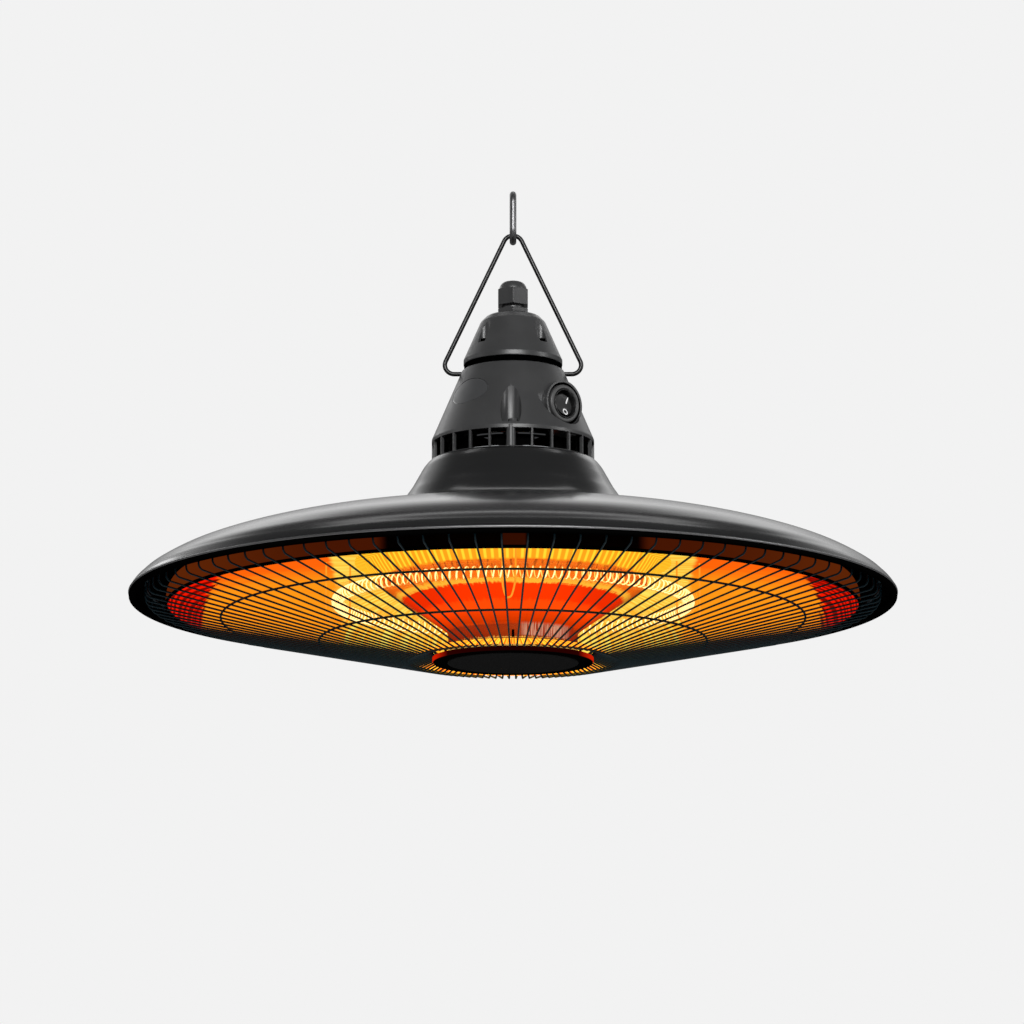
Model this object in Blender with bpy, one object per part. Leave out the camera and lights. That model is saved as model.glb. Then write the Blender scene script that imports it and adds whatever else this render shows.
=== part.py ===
"""Hanging ceiling heater: a spun shade with a ring quartz heater under a vented housing.

Metres, +Z up. The origin is the hanging point, inside the top of the hanging link.
Heights of the heater are measured from the plane of the shade's lip, and the empty
heater_frame carries that plane. Azimuth 0 is the front (-Y), and it grows towards +X.
"""

import bmesh
import bpy
import numpy as np
from math import atan2, cos, degrees, hypot, pi, radians, sin, tan
from mathutils import Matrix, Vector

# Clearances and small shared sizes
GAP = 0.0003
CUT_OVERRUN = 0.002
LARGE_SEGMENTS = 32
MIDDLE_SEGMENTS = 24
SEGMENTS = 24
SMALL_SEGMENTS = 12
HOLE_SEGMENTS = 8

# Shade: one spun sheet from the lip up to the neck's flange
SHADE_RADIUS = 0.290
SHADE_WALL = 0.0012
HEM_WIDTH = 0.0035
HEM_DEPTH = 0.0010
NECK_STEP = 0.0010
NECK_HEIGHT = 0.1045
NECK_FLANGE_WIDTH = 0.0150
SHADE_SHARES = (
    (0.962, 0.100),
    (0.880, 0.215),
    (0.714, 0.345),
    (0.480, 0.455),
    (0.240, 0.541),
    (0.119, 0.636),
    (0.072, 0.760),
    (0.034, 0.910),
    (0.014, 0.978),
)

# Lower housing: vent wall, cone and top flange
HOUSING_RADIUS = 0.0620
HOUSING_WALL = 0.0025
VENT_SILL = 0.0014
VENT_HEIGHT = 0.0131
VENT_BAND = 0.0027
VENT_COUNT = 24
VENT_RIB = 0.0016
VENT_COLUMN_WIDTH = 0.0063
CONE_HEIGHT = 0.0545
CONE_INSET = 0.0231
CONE_EDGE = 0.0013
HOUSING_FLANGE_WIDTH = 0.0149
HOUSING_FLANGE_WALL = 0.0012

# Housing screws in their pockets
HOUSING_SCREWS = 3
POCKET_RADIUS = 0.0083
POCKET_INSET = 0.0059
POCKET_RISE = 0.0018
POCKET_WALL = 0.0020
POCKET_HEIGHT = 0.034
COLUMN_RADIUS = 0.0037
HOUSING_SCREW_RADIUS = 0.0016
HOUSING_SCREW_HEAD_RADIUS = 0.0038
HOUSING_SCREW_HEAD_HEIGHT = 0.0026

# Upper cap, its gasket and its screws
SEAM_HEIGHT = 0.0032
CAP_STEP = 0.0010
CAP_WALL = 0.0025
CAP_BAND = 0.0039
CAP_CONE_HEIGHT = 0.0328
CAP_SHOULDER_RADIUS = 0.0246
CAP_CROWN_HEIGHT = 0.0063
CAP_CROWN_RADIUS = 0.0155
CAP_SCREWS = 4
CAP_POCKET_RADIUS = 0.0045
CAP_POCKET_INSET = 0.0073
CAP_POCKET_FLOOR = 0.0135
CAP_POCKET_WALL = 0.0018
CAP_SCREW_RADIUS = 0.0014
CAP_SCREW_HEAD_RADIUS = 0.0030
CAP_SCREW_HEAD_HEIGHT = 0.0022
GASKET_INSET = 0.0024
GASKET_WIDTH = 0.0027

# Cable gland
GLAND_FLATS = 0.0220
GLAND_CORNER_RADIUS = 0.0123
GLAND_THREAD_RADIUS = 0.0083
GLAND_BORE = 0.0052
GLAND_FLANGE_HEIGHT = 0.0040
GLAND_NECK_HEIGHT = 0.0018
GLAND_NUT_HEIGHT = 0.0120
GLAND_DOME_HEIGHT = 0.0063
GLAND_DOME_RADIUS = 0.0076
GLAND_SHANK = 0.0120
LOCKNUT_HEIGHT = 0.0040
SEAL_HEIGHT = 0.0050

# Bail and hanging link
BAIL_WIRE = 0.0015
BAIL_FEET_DROP = 0.0020
BAIL_SLOPE_ANGLE = radians(25.18)
BAIL_CORNER_REACH = 0.0175
BAIL_CORNER_BEND = 0.0072
BAIL_APEX_BEND = 0.0083
BAIL_FOOT_INSIDE = 0.0075
LINK_WIRE = 0.00225
LINK_LENGTH = 0.0432
LINK_WIDTH = 0.0220

# Badge plate on the cone
BADGE_AZIMUTH = radians(-42.0)
BADGE_HEIGHT = 0.0315
BADGE_LENGTH = 0.0360
BADGE_WIDTH = 0.0200
BADGE_THICKNESS = 0.0009

# Rocker switch, on a flat seat that is sunk at one side and stands out at the other
SWITCH_AZIMUTH = radians(48.5)
SWITCH_FACING = radians(41.5)
SWITCH_ROLL = radians(-12.0)
SWITCH_SINK = 0.00089
SWITCH_HEIGHT = 0.0215
SEAT_RADIUS = 0.0215
BOSS_RADIUS = 0.0180
BOSS_DEPTH = 0.0190
RECESS_RADIUS = 0.0161
RECESS_DEPTH = 0.0020
BOOT_OUTER = 0.0150
BOOT_INNER = 0.0115
BOOT_RISE = 0.0012
SWITCH_RIM_OUTER = 0.0111
SWITCH_RIM_INNER = 0.0101
SWITCH_RIM_RISE = 0.0014
SWITCH_BARREL_DEPTH = 0.0130
ROCKER_RADIUS = 0.0092
ROCKER_SINK = 0.0006
ROCKER_SKIRT = 0.0080
ROCKER_PIVOT_DEPTH = 0.0050
ROCKER_PIN_RADIUS = 0.0010
ROCKER_REST_TILT = radians(12.0)

# Inside the neck
BAFFLE_INSET = 0.0004
BAFFLE_WALL = 0.0010
BAFFLE_HEIGHT = 0.0140
BAFFLE_HOLE = 0.0140
BAFFLE_SLOTS = 6
BAFFLE_SLOT_WIDTH = 0.0200
BAFFLE_SLOT_HEIGHT = 0.0080
TERMINAL_LENGTH = 0.0340
TERMINAL_DEPTH = 0.0150
TERMINAL_HEIGHT = 0.0140
TERMINAL_SHIFT = 0.0230
CLAMP_RING_WIDTH = 0.0120
CLAMP_RING_THICKNESS = 0.0015
ROD_RADIUS = 0.0030
ROD_COUNT = 3

# Heat shield and reflectors
SHIELD_OVERHANG = 0.0523
SHIELD_INNER = 0.0300
SHIELD_THICKNESS = 0.0013
SHIELD_CLEARANCE = 0.0060
PAN_INSET = 0.0292
PAN_WALL = 0.0012
PAN_EDGE_DROP = 0.0080
PAN_OVERLAP = 0.0060
PAN_SHARES = (
    (1.000, 0.00),
    (0.995, 0.33),
    (0.960, 0.66),
    (0.880, 0.85),
    (0.740, 0.965),
    (0.580, 1.00),
)
HUB_SKIN = 0.0010
HUB_THROAT_INSET = 0.0207
HUB_FLANGE_WIDTH = 0.0080
HUB_SHOULDER_INSET = 0.0140
HUB_SHOULDER_HEIGHT = 0.0070
HUB_CONE_RADIUS = 0.0500
HUB_CONE_DROP = 0.0250
HUB_BARREL_RADIUS = 0.0490
HUB_BARREL_DROP = 0.0370
SPACER_RADIUS = 0.0040
SPACER_HEIGHT = 0.0070
SPACER_COUNT = 3

# Quartz ring heater
RING_RADIUS = 0.1327
RING_DROP = 0.0025
TUBE_OUTER = 0.0075
TUBE_INNER = 0.0062
COIL_RADIUS = 0.0037
COIL_WIRE = 0.0005
COIL_SAG = 0.0008
COIL_TURNS = 18
COIL_POINTS_PER_TURN = 8
COIL_TAIL = 0.0150
HOLDER_LENGTH = 0.0130
HOLDER_WIDTH = 0.0200
HOLDER_FLOOR = 0.0095
HOLDER_INSET = 0.0020
HOLDER_SOCKET = 0.0020
CLIP_WIRE = 0.0007
CLIP_REACH = 0.0089
CLIP_DROP = 0.0195
CLIP_LEG_END = 0.0100
CLIP_SKEW = 0.0095
LEAD_WIRE = 0.00125

# Wire grille, its support rings and the hub
WIRE_COUNT = 96
WIRE_RADIUS = 0.00075
WIRE_RING_INSET = 0.0130
WIRE_RING_HEIGHT = 0.0030
WIRE_RING_SIZE = 0.0028
WIRE_BEND_DROP = 0.0064
WIRE_BEND_RADIUS = 0.0035
WIRE_HUB_RADIUS = 0.0840
WIRE_HUB_DROP = 0.0489
HUB_RING_RADIUS = 0.0600
HUB_RING_DROP = 0.0400
HUB_RING_SIZE = 0.0030
SUPPORT_WIRE = 0.0009
SUPPORT_OUTER_INSET = 0.0562
SUPPORT_INNER_RADIUS = 0.1465
HUB_CAP_RADIUS = 0.0609
HUB_CAP_WALL = 0.0013
HUB_CAP_HEIGHT = 0.0081
HUB_PLATE_RADIUS = 0.0495
HUB_PLATE_RECESS = 0.0010
HUB_PLATE_RISE = 0.0003
HUB_PLATE_THICKNESS = 0.0010
HUB_BOLT_RADIUS = 0.0025
HUB_BOLT_HEAD = 0.0050
HUB_BOLT_HEAD_HEIGHT = 0.0030
HUB_BOSS_RADIUS = 0.0060
HUB_CLIPS = 3
HUB_CLIP_WIDTH = 0.0020
HUB_CLIP_THICKNESS = 0.0011
GRILLE_CLIPS = 3
GRILLE_CLIP_LENGTH = 0.0120
GRILLE_CLIP_WIDTH = 0.0050
PAN_HANGERS = 3
PAN_HANGER_LENGTH = 0.0140
PAN_HANGER_WIDTH = 0.0035
PAN_HANGER_OVERLAP = 0.0040

# Radii that follow from the sizes
CONE_TOP_RADIUS = HOUSING_RADIUS - CONE_INSET
HOUSING_FLANGE_INNER = CONE_TOP_RADIUS - HOUSING_FLANGE_WIDTH
BAIL_CORNER_X = CONE_TOP_RADIUS + BAIL_CORNER_REACH
NECK_RADIUS = HOUSING_RADIUS + NECK_STEP
NECK_FLANGE_INNER = NECK_RADIUS - NECK_FLANGE_WIDTH
POCKET_CENTRE = HOUSING_RADIUS - POCKET_INSET
CLAMP_RING_OUTER = HOUSING_RADIUS
CLAMP_RING_INNER = CLAMP_RING_OUTER - CLAMP_RING_WIDTH
BAFFLE_RADIUS = NECK_FLANGE_INNER - BAFFLE_INSET
CAP_RADIUS = CONE_TOP_RADIUS - CAP_STEP
CAP_POCKET_CENTRE = CAP_RADIUS - CAP_POCKET_INSET
GASKET_OUTER = CAP_RADIUS - GASKET_INSET
GASKET_INNER = GASKET_OUTER - GASKET_WIDTH
PAN_RADIUS = SHADE_RADIUS - PAN_INSET
SHIELD_RADIUS = RING_RADIUS + SHIELD_OVERHANG
HUB_THROAT_RADIUS = RING_RADIUS - HUB_THROAT_INSET
HUB_FLANGE_RADIUS = HUB_THROAT_RADIUS + HUB_FLANGE_WIDTH
HUB_SHOULDER_RADIUS = HUB_THROAT_RADIUS - HUB_SHOULDER_INSET
PAN_INNER = HUB_THROAT_RADIUS - PAN_OVERLAP
WIRE_RING_RADIUS = SHADE_RADIUS - WIRE_RING_INSET
SUPPORT_OUTER_RADIUS = WIRE_RING_RADIUS - SUPPORT_OUTER_INSET

# Heights above the lip that follow from the sizes
HOUSING_BASE = NECK_HEIGHT + GAP
VENT_BASE = HOUSING_BASE + VENT_SILL
VENT_TOP = VENT_BASE + VENT_HEIGHT
CREASE = VENT_TOP + VENT_BAND
CONE_TOP = CREASE + CONE_HEIGHT
HOUSING_TOP = CONE_TOP + CONE_EDGE
CAP_BASE = HOUSING_TOP + SEAM_HEIGHT
CAP_BAND_TOP = CAP_BASE + CAP_BAND
CAP_SHOULDER = CAP_BAND_TOP + CAP_CONE_HEIGHT
CAP_TOP = CAP_SHOULDER + CAP_CROWN_HEIGHT
POCKET_FLOOR = CREASE + POCKET_RISE
CONE_FALL = (HOUSING_RADIUS - CONE_TOP_RADIUS) / CONE_HEIGHT
SWITCH_CENTRE_RADIUS = HOUSING_RADIUS - SWITCH_HEIGHT * CONE_FALL - SWITCH_SINK
BAIL_FEET_HEIGHT = CONE_TOP - BAIL_FEET_DROP
LINK_ARC = LINK_WIDTH / 2 - LINK_WIRE
BAIL_SHARP_APEX = BAIL_FEET_HEIGHT + BAIL_CORNER_X / tan(BAIL_SLOPE_ANGLE)
BAIL_APEX = BAIL_SHARP_APEX - BAIL_APEX_BEND * (1 / sin(BAIL_SLOPE_ANGLE) - 1)
LINK_BASE = BAIL_APEX - BAIL_WIRE - GAP - 2 * LINK_WIRE
HANG_HEIGHT = LINK_BASE + LINK_LENGTH - 2 * LINK_WIRE
RING_HEIGHT = -RING_DROP
HUB_CAP_TOP = -HUB_RING_DROP - HUB_RING_SIZE / 2 - GAP
HUB_CAP_BASE = HUB_CAP_TOP - HUB_CAP_HEIGHT
CLAMP_TOP = NECK_HEIGHT - SHADE_WALL - GAP
CLAMP_BASE = CLAMP_TOP - CLAMP_RING_THICKNESS

COLOURS = {
    "housing": ((0.060, 0.061, 0.063, 1.0), 0.42, 0.0),
    "badge": ((0.085, 0.086, 0.090, 1.0), 0.30, 0.0),
    "shade": ((0.022, 0.022, 0.023, 1.0), 0.34, 0.6),
    "black_wire": ((0.012, 0.012, 0.013, 1.0), 0.35, 0.4),
    "grille_wire": ((0.010, 0.040, 0.055, 1.0), 0.40, 0.6),
    "steel": ((0.42, 0.42, 0.43, 1.0), 0.32, 1.0),
    "zinc": ((0.55, 0.55, 0.57, 1.0), 0.40, 1.0),
    "rubber": ((0.008, 0.008, 0.008, 1.0), 0.70, 0.0),
    "reflector": ((0.90, 0.42, 0.06, 1.0), 0.18, 1.0),
    "quartz": ((0.95, 0.80, 0.60, 0.3), 0.05, 0.0),
    "coil": ((1.0, 0.62, 0.25, 1.0), 0.50, 0.0),
    "ceramic": ((0.78, 0.74, 0.66, 1.0), 0.60, 0.0),
    "lead": ((0.70, 0.68, 0.62, 1.0), 0.60, 0.0),
    "black_metal": ((0.010, 0.010, 0.010, 1.0), 0.45, 0.3),
    "terminal": ((0.80, 0.78, 0.72, 1.0), 0.50, 0.0),
}


def material(name):
    """A Principled material for one piece, in one of the object's finishes."""
    colour, roughness, metallic = COLOURS[name]
    made = bpy.data.materials.new(name)
    made.use_nodes = True
    shader = made.node_tree.nodes["Principled BSDF"]
    shader.inputs["Base Color"].default_value = colour
    shader.inputs["Roughness"].default_value = roughness
    shader.inputs["Metallic"].default_value = metallic
    shader.inputs["Alpha"].default_value = colour[3]
    return made


def add_mesh(name, points, faces, finish, parent, matrix=None):
    """A named object from points and faces, its normals facing out, parented to an empty."""
    mesh = bpy.data.meshes.new(name)
    build = bmesh.new()
    corners = [build.verts.new(point) for point in points]
    for face in faces:
        build.faces.new([corners[i] for i in face])
    bmesh.ops.recalc_face_normals(build, faces=build.faces)
    if build.calc_volume(signed=True) < 0:
        bmesh.ops.reverse_faces(build, faces=build.faces)
    build.to_mesh(mesh)
    build.free()
    mesh.shade_smooth()
    mesh.set_sharp_from_angle(angle=radians(35))
    mesh.materials.append(material(finish))
    made = bpy.data.objects.new(name, mesh)
    bpy.context.scene.collection.objects.link(made)
    made.parent = parent
    if matrix is not None:
        made.matrix_local = matrix
    return made


def as_cutter(made):
    made.hide_render = True
    made.display_type = "WIRE"
    return made


def boolean(target, cutter, operation="DIFFERENCE"):
    modifier = target.modifiers.new(operation.lower(), "BOOLEAN")
    modifier.object = as_cutter(cutter)
    modifier.operation = operation
    return target


def turned_mesh(profile, segments, closed=True, turn=0.0):
    """Points and faces of a profile of (radius, height) pairs turned about Z, rotated by a share of a segment."""
    points, rings = [], []
    for radius, height in profile:
        if radius == 0:
            rings.append([len(points)] * segments)
            points.append((0, 0, height))
            continue
        rings.append(list(range(len(points), len(points) + segments)))
        for k in range(segments):
            angle = 2 * pi * (k + turn) / segments
            points.append((radius * sin(angle), -radius * cos(angle), height))
    faces = []
    pairs = list(zip(rings, rings[1:] + rings[:1])) if closed else list(zip(rings, rings[1:]))
    for low, high in pairs:
        for k in range(segments):
            after = (k + 1) % segments
            face = [low[k], low[after], high[after], high[k]]
            face = [i for n, i in enumerate(face) if i not in face[:n]]
            if len(face) > 2:
                faces.append(face)
    return points, faces


def turned_solid(name, profile, finish, parent, segments=SEGMENTS):
    """A solid under a profile that starts and ends on the axis."""
    return add_part(name, turned_mesh(profile, segments, closed=False), finish, parent)


def turned(name, profile, finish, parent, segments=SEGMENTS, matrix=None):
    points, faces = turned_mesh(profile, segments)
    return add_mesh(name, points, faces, finish, parent, matrix)


def joined(parts):
    """One list of points and faces from several."""
    points, faces = [], []
    for some_points, some_faces in parts:
        faces += [[i + len(points) for i in face] for face in some_faces]
        points += [tuple(point) for point in some_points]
    return points, faces


def moved(part, matrix):
    points, faces = part
    return [tuple(matrix @ Vector(point)) for point in points], faces


def rod_mesh(radius, low, high, segments=SMALL_SEGMENTS, turn=0.5):
    return turned_mesh([(0, low), (radius, low), (radius, high), (0, high)], segments, closed=False, turn=turn)


def rods_mesh(radius, low, high, centre, angles, segments=SMALL_SEGMENTS):
    """Upright rods on a circle."""
    return joined(moved(rod_mesh(radius, low, high, segments), spin(a) @ front(centre)) for a in angles)


def box_mesh(low, high):
    points = [(x, y, z) for x in (low[0], high[0]) for y in (low[1], high[1]) for z in (low[2], high[2])]
    faces = [[0, 1, 3, 2], [4, 6, 7, 5], [0, 4, 5, 1], [2, 3, 7, 6], [0, 2, 6, 4], [1, 5, 7, 3]]
    return points, faces


def add_part(name, part, finish, parent, matrix=None):
    return add_mesh(name, part[0], part[1], finish, parent, matrix)


def spin(azimuth):
    """Turns what is built at the front (-Y) to an azimuth."""
    return Matrix.Rotation(azimuth, 4, "Z")


def front(radius, height=0.0):
    return Matrix.Translation((0, -radius, height))


def wire(name, points, radius, finish, parent, resolution=2, cyclic=False):
    """A round wire through points: a curve with a bevel and filled caps."""
    curve = bpy.data.curves.new(name, "CURVE")
    curve.dimensions = "3D"
    curve.bevel_depth = radius
    curve.bevel_resolution = resolution
    curve.use_fill_caps = not cyclic
    spline = curve.splines.new("POLY")
    spline.points.add(len(points) - 1)
    for place, point in zip(spline.points, points):
        place.co = (*point, 1)
    spline.use_cyclic_u = cyclic
    spline.use_smooth = True
    curve.materials.append(material(finish))
    made = bpy.data.objects.new(name, curve)
    bpy.context.scene.collection.objects.link(made)
    made.parent = parent
    return made


def filleted(corners, radii, steps, cyclic=False):
    """A polyline whose corners are rounded by arcs of the given radii."""
    count = len(corners)
    path = []
    for k in range(count):
        here = Vector(corners[k])
        if not cyclic and k in (0, count - 1):
            path.append(here)
            continue
        back = (Vector(corners[k - 1]) - here).normalized()
        ahead = (Vector(corners[(k + 1) % count]) - here).normalized()
        half = back.angle(ahead) / 2
        radius = radii[k]
        centre = here + (back + ahead).normalized() * (radius / sin(half))
        start = here + back * (radius / tan(half)) - centre
        end = here + ahead * (radius / tan(half)) - centre
        sweep = start.angle(end)
        for n in range(steps + 1):
            share = n / steps
            arm = (start * sin((1 - share) * sweep) + end * sin(share * sweep)) / sin(sweep)
            path.append(centre + arm)
    return path


def smooth_path(corners, count):
    """Points read evenly from a smooth curve (Catmull-Rom) through the route's own points."""
    route = [Vector(corner) for corner in corners]
    route = [2 * route[0] - route[1]] + route + [2 * route[-1] - route[-2]]
    path = []
    spans = len(route) - 3
    for n in range(count):
        place = spans * n / (count - 1)
        k = min(int(place), spans - 1)
        t = place - k
        a, b, c, d = route[k : k + 4]
        path.append(
            0.5 * (2 * b + (c - a) * t + (2 * a - 5 * b + 4 * c - d) * t**2 + (3 * b - a - 3 * c + d) * t**3)
        )
    return path


def offset(profile, distance):
    """The profile moved sideways, to its right, by a distance."""
    made = []
    for k in range(len(profile)):
        before = profile[max(k - 1, 0)]
        after = profile[min(k + 1, len(profile) - 1)]
        dr, dz = after[0] - before[0], after[1] - before[1]
        size = hypot(dr, dz)
        made.append((profile[k][0] + dz / size * distance, profile[k][1] - dr / size * distance))
    return made


def polar(radius, azimuth, height, along=0.0):
    """A point at a radius and azimuth, moved along the tangent."""
    return (
        radius * sin(azimuth) + along * cos(azimuth),
        -radius * cos(azimuth) + along * sin(azimuth),
        height,
    )


def spread(count, start=0.0):
    return [start + 2 * pi * k / count for k in range(count)]


def screw_mesh(radius, length, head_radius, head_height):
    """A pan-head screw standing on its head's underside at height zero."""
    return turned_mesh(
        [
            (0, -length),
            (radius, -length),
            (radius, 0),
            (head_radius, 0),
            (head_radius, head_height),
            (0, head_height),
        ],
        HOLE_SEGMENTS,
        closed=False,
    )


# Hanging link and bail


def make_link(frame):
    """An oval ring of steel wire in the YZ plane, seen edge-on from the front."""
    middle = LINK_BASE + LINK_LENGTH / 2
    straight = LINK_LENGTH / 2 - LINK_WIRE - LINK_ARC
    path = []
    for start, centre in ((0, middle + straight), (pi, middle - straight)):
        for n in range(8):
            angle = start + pi * n / 7
            path.append((0, LINK_ARC * cos(angle), centre + LINK_ARC * sin(angle)))
    return wire("hanging_link", path, LINK_WIRE, "steel", frame, resolution=1, cyclic=True)


def bail_path():
    """The bail's centre-line in the XZ plane, from one foot's end to the other's."""
    foot = BAIL_CORNER_X
    inside = cone_radius(BAIL_FEET_HEIGHT) - HOUSING_WALL - BAIL_FOOT_INSIDE
    corners = [
        (-inside, 0, BAIL_FEET_HEIGHT),
        (-foot, 0, BAIL_FEET_HEIGHT),
        (0, 0, BAIL_SHARP_APEX),
        (foot, 0, BAIL_FEET_HEIGHT),
        (inside, 0, BAIL_FEET_HEIGHT),
    ]
    bends = [0, BAIL_CORNER_BEND, BAIL_APEX_BEND, BAIL_CORNER_BEND, 0]
    return filleted(corners, bends, 4)


def make_bail(hinge):
    """The wire bail, whose feet spring into holes in the housing's cone."""
    drop = Vector((0, 0, BAIL_FEET_HEIGHT))
    wire("bail", [point - drop for point in bail_path()], BAIL_WIRE, "black_wire", hinge)


# Housing


def cone_radius(height):
    """The lower housing's outer radius at a height on its cone."""
    return HOUSING_RADIUS - (height - CREASE) * CONE_FALL


def housing_outline():
    return [
        (HOUSING_RADIUS, HOUSING_BASE),
        (HOUSING_RADIUS, CREASE),
        (CONE_TOP_RADIUS, CONE_TOP),
        (CONE_TOP_RADIUS - CONE_EDGE, HOUSING_TOP),
    ]


def make_vent_cutter(frame):
    """Windows round the vent wall, narrower beside the screw columns."""
    step = 2 * pi / VENT_COUNT
    column = VENT_COLUMN_WIDTH / 2 / HOUSING_RADIUS
    rib = VENT_RIB / 2 / HOUSING_RADIUS
    low, high = HOUSING_RADIUS - HOUSING_WALL - GAP, HOUSING_RADIUS + CUT_OVERRUN
    every = VENT_COUNT // HOUSING_SCREWS
    parts = []
    for k in range(VENT_COUNT):
        start = k * step + (column if k % every == 0 else rib)
        end = (k + 1) * step - (column if (k + 1) % every == 0 else rib)
        points = []
        for height in (VENT_BASE, VENT_TOP):
            for radius, angle in ((low, start), (high, start), (high, end), (low, end)):
                points.append((radius * sin(angle), -radius * cos(angle), height))
        faces = [[0, 1, 2, 3], [7, 6, 5, 4], [0, 4, 5, 1], [1, 5, 6, 2], [2, 6, 7, 3], [3, 7, 4, 0]]
        parts.append((points, faces))
    return add_part("vent_cutter", joined(parts), "housing", frame)


def drill(name, target, radius, low, high, centre, angles, frame):
    """Round holes parallel to Z through a piece."""
    holes = rods_mesh(radius, low, high, centre, angles, HOLE_SEGMENTS)
    return boolean(target, add_part(name, holes, "housing", frame))


def make_lower_housing(frame, switch):
    """The vented cone with its screw pockets, switch boss and bail holes."""
    outer = housing_outline()
    wall = HOUSING_WALL
    housing = turned_solid("lower_housing", [(0, HOUSING_BASE)] + outer + [(0, HOUSING_TOP)], "housing", frame)
    back = -RECESS_DEPTH - wall
    boss = rod_mesh(BOSS_RADIUS, back, 0, SMALL_SEGMENTS + HOLE_SEGMENTS)
    boolean(housing, add_part("switch_boss", boss, "housing", frame, switch), "UNION")
    under, over = HOUSING_BASE - CUT_OVERRUN, HOUSING_TOP + CUT_OVERRUN
    ceiling = HOUSING_TOP - HOUSING_FLANGE_WALL
    hollow = turned_solid(
        "housing_hollow",
        [
            (0, under),
            (HOUSING_RADIUS - wall, under),
            (HOUSING_RADIUS - wall, CREASE),
            (cone_radius(ceiling) - wall, ceiling),
            (HOUSING_FLANGE_INNER, ceiling),
            (HOUSING_FLANGE_INNER, over),
            (0, over),
        ],
        "housing",
        frame,
    )
    angles = spread(HOUSING_SCREWS)
    columns = rods_mesh(COLUMN_RADIUS, under - CUT_OVERRUN, POCKET_FLOOR, POCKET_CENTRE, angles)
    boolean(hollow, add_part("screw_columns", columns, "housing", frame))
    radius, low = POCKET_RADIUS + POCKET_WALL, CREASE - POCKET_WALL / 2
    blocks = rods_mesh(radius, low, POCKET_FLOOR + POCKET_HEIGHT, POCKET_CENTRE, angles)
    boolean(hollow, add_part("pocket_blocks", blocks, "housing", frame))
    behind = rod_mesh(SEAT_RADIUS + wall, back, BOSS_DEPTH, SMALL_SEGMENTS + HOLE_SEGMENTS)
    boolean(hollow, add_part("switch_backing", behind, "housing", frame, switch))
    boolean(housing, hollow)
    boolean(housing, make_vent_cutter(frame))
    radius = POCKET_RADIUS
    pockets = rods_mesh(radius, POCKET_FLOOR, over, POCKET_CENTRE, angles, HOLE_SEGMENTS * 2)
    boolean(housing, add_part("pocket_cutter", pockets, "housing", frame))
    hole = HOUSING_SCREW_RADIUS + GAP
    drill("screw_holes", housing, hole, under, HOUSING_TOP, POCKET_CENTRE, angles, frame)
    cap_angles = spread(CAP_SCREWS, pi / CAP_SCREWS)
    hole = CAP_SCREW_RADIUS + GAP
    low, high = HOUSING_TOP - wall - CUT_OVERRUN, HOUSING_TOP + CUT_OVERRUN
    drill("cap_screw_holes", housing, hole, low, high, CAP_POCKET_CENTRE, cap_angles, frame)
    seat = rod_mesh(SEAT_RADIUS, GAP, BOSS_DEPTH, SMALL_SEGMENTS + HOLE_SEGMENTS)
    boolean(housing, add_part("switch_seat", seat, "housing", frame, switch))
    recess = rod_mesh(RECESS_RADIUS, -RECESS_DEPTH, BOSS_DEPTH, SMALL_SEGMENTS + HOLE_SEGMENTS)
    boolean(housing, add_part("switch_recess", recess, "housing", frame, switch))
    barrel = rod_mesh(SWITCH_RIM_OUTER + GAP, -BOSS_DEPTH - CUT_OVERRUN, 0, SMALL_SEGMENTS * 2)
    boolean(housing, add_part("switch_barrel_hole", barrel, "housing", frame, switch))
    feet = rod_mesh(BAIL_WIRE + GAP, -HOUSING_RADIUS, HOUSING_RADIUS)
    across = Matrix.Translation((0, 0, BAIL_FEET_HEIGHT)) @ Matrix.Rotation(pi / 2, 4, "Y")
    boolean(housing, add_part("bail_holes", feet, "housing", frame, across))
    boolean(housing, make_badge("badge_recess", frame, GAP, BADGE_THICKNESS + GAP, CUT_OVERRUN))
    return housing


def make_badge(name, frame, grow, depth, rise):
    """An oval patch of the cone: the blank badge, or its recess."""
    height = CREASE + BADGE_HEIGHT
    middle = cone_radius(height)
    slope = atan2(CONE_FALL, 1)
    steps = SMALL_SEGMENTS + HOLE_SEGMENTS // 2
    loops = (1.0, 0.5)
    points, faces = [], []
    for layer, lift in enumerate((rise, -depth)):
        for share in loops:
            for n in range(steps):
                angle = 2 * pi * n / steps
                a = share * (BADGE_LENGTH / 2 + grow) * cos(angle)
                b = share * (BADGE_WIDTH / 2 + grow) * sin(angle)
                z = height + b * cos(slope)
                azimuth = BADGE_AZIMUTH + a / middle
                points.append(polar(cone_radius(z) + lift * cos(slope), azimuth, z + lift * sin(slope)))
        z = height
        points.append(polar(middle + lift * cos(slope), BADGE_AZIMUTH, z + lift * sin(slope)))
        base = layer * (2 * steps + 1)
        for n in range(steps):
            after = (n + 1) % steps
            outer, inner, centre = base, base + steps, base + 2 * steps
            faces.append([outer + n, outer + after, inner + after, inner + n])
            faces.append([inner + n, inner + after, centre])
    other = 2 * steps + 1
    for n in range(steps):
        after = (n + 1) % steps
        faces.append([n, after, other + after, other + n])
    return add_mesh(name, points, faces, "badge", frame)


def cap_outline():
    return [
        (CAP_RADIUS, CAP_BASE),
        (CAP_RADIUS, CAP_BAND_TOP),
        (CAP_SHOULDER_RADIUS, CAP_SHOULDER),
        ((CAP_SHOULDER_RADIUS * 0.45 + CAP_CROWN_RADIUS * 0.55), CAP_SHOULDER + CAP_CROWN_HEIGHT * 0.75),
        (CAP_CROWN_RADIUS, CAP_TOP),
    ]


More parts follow.
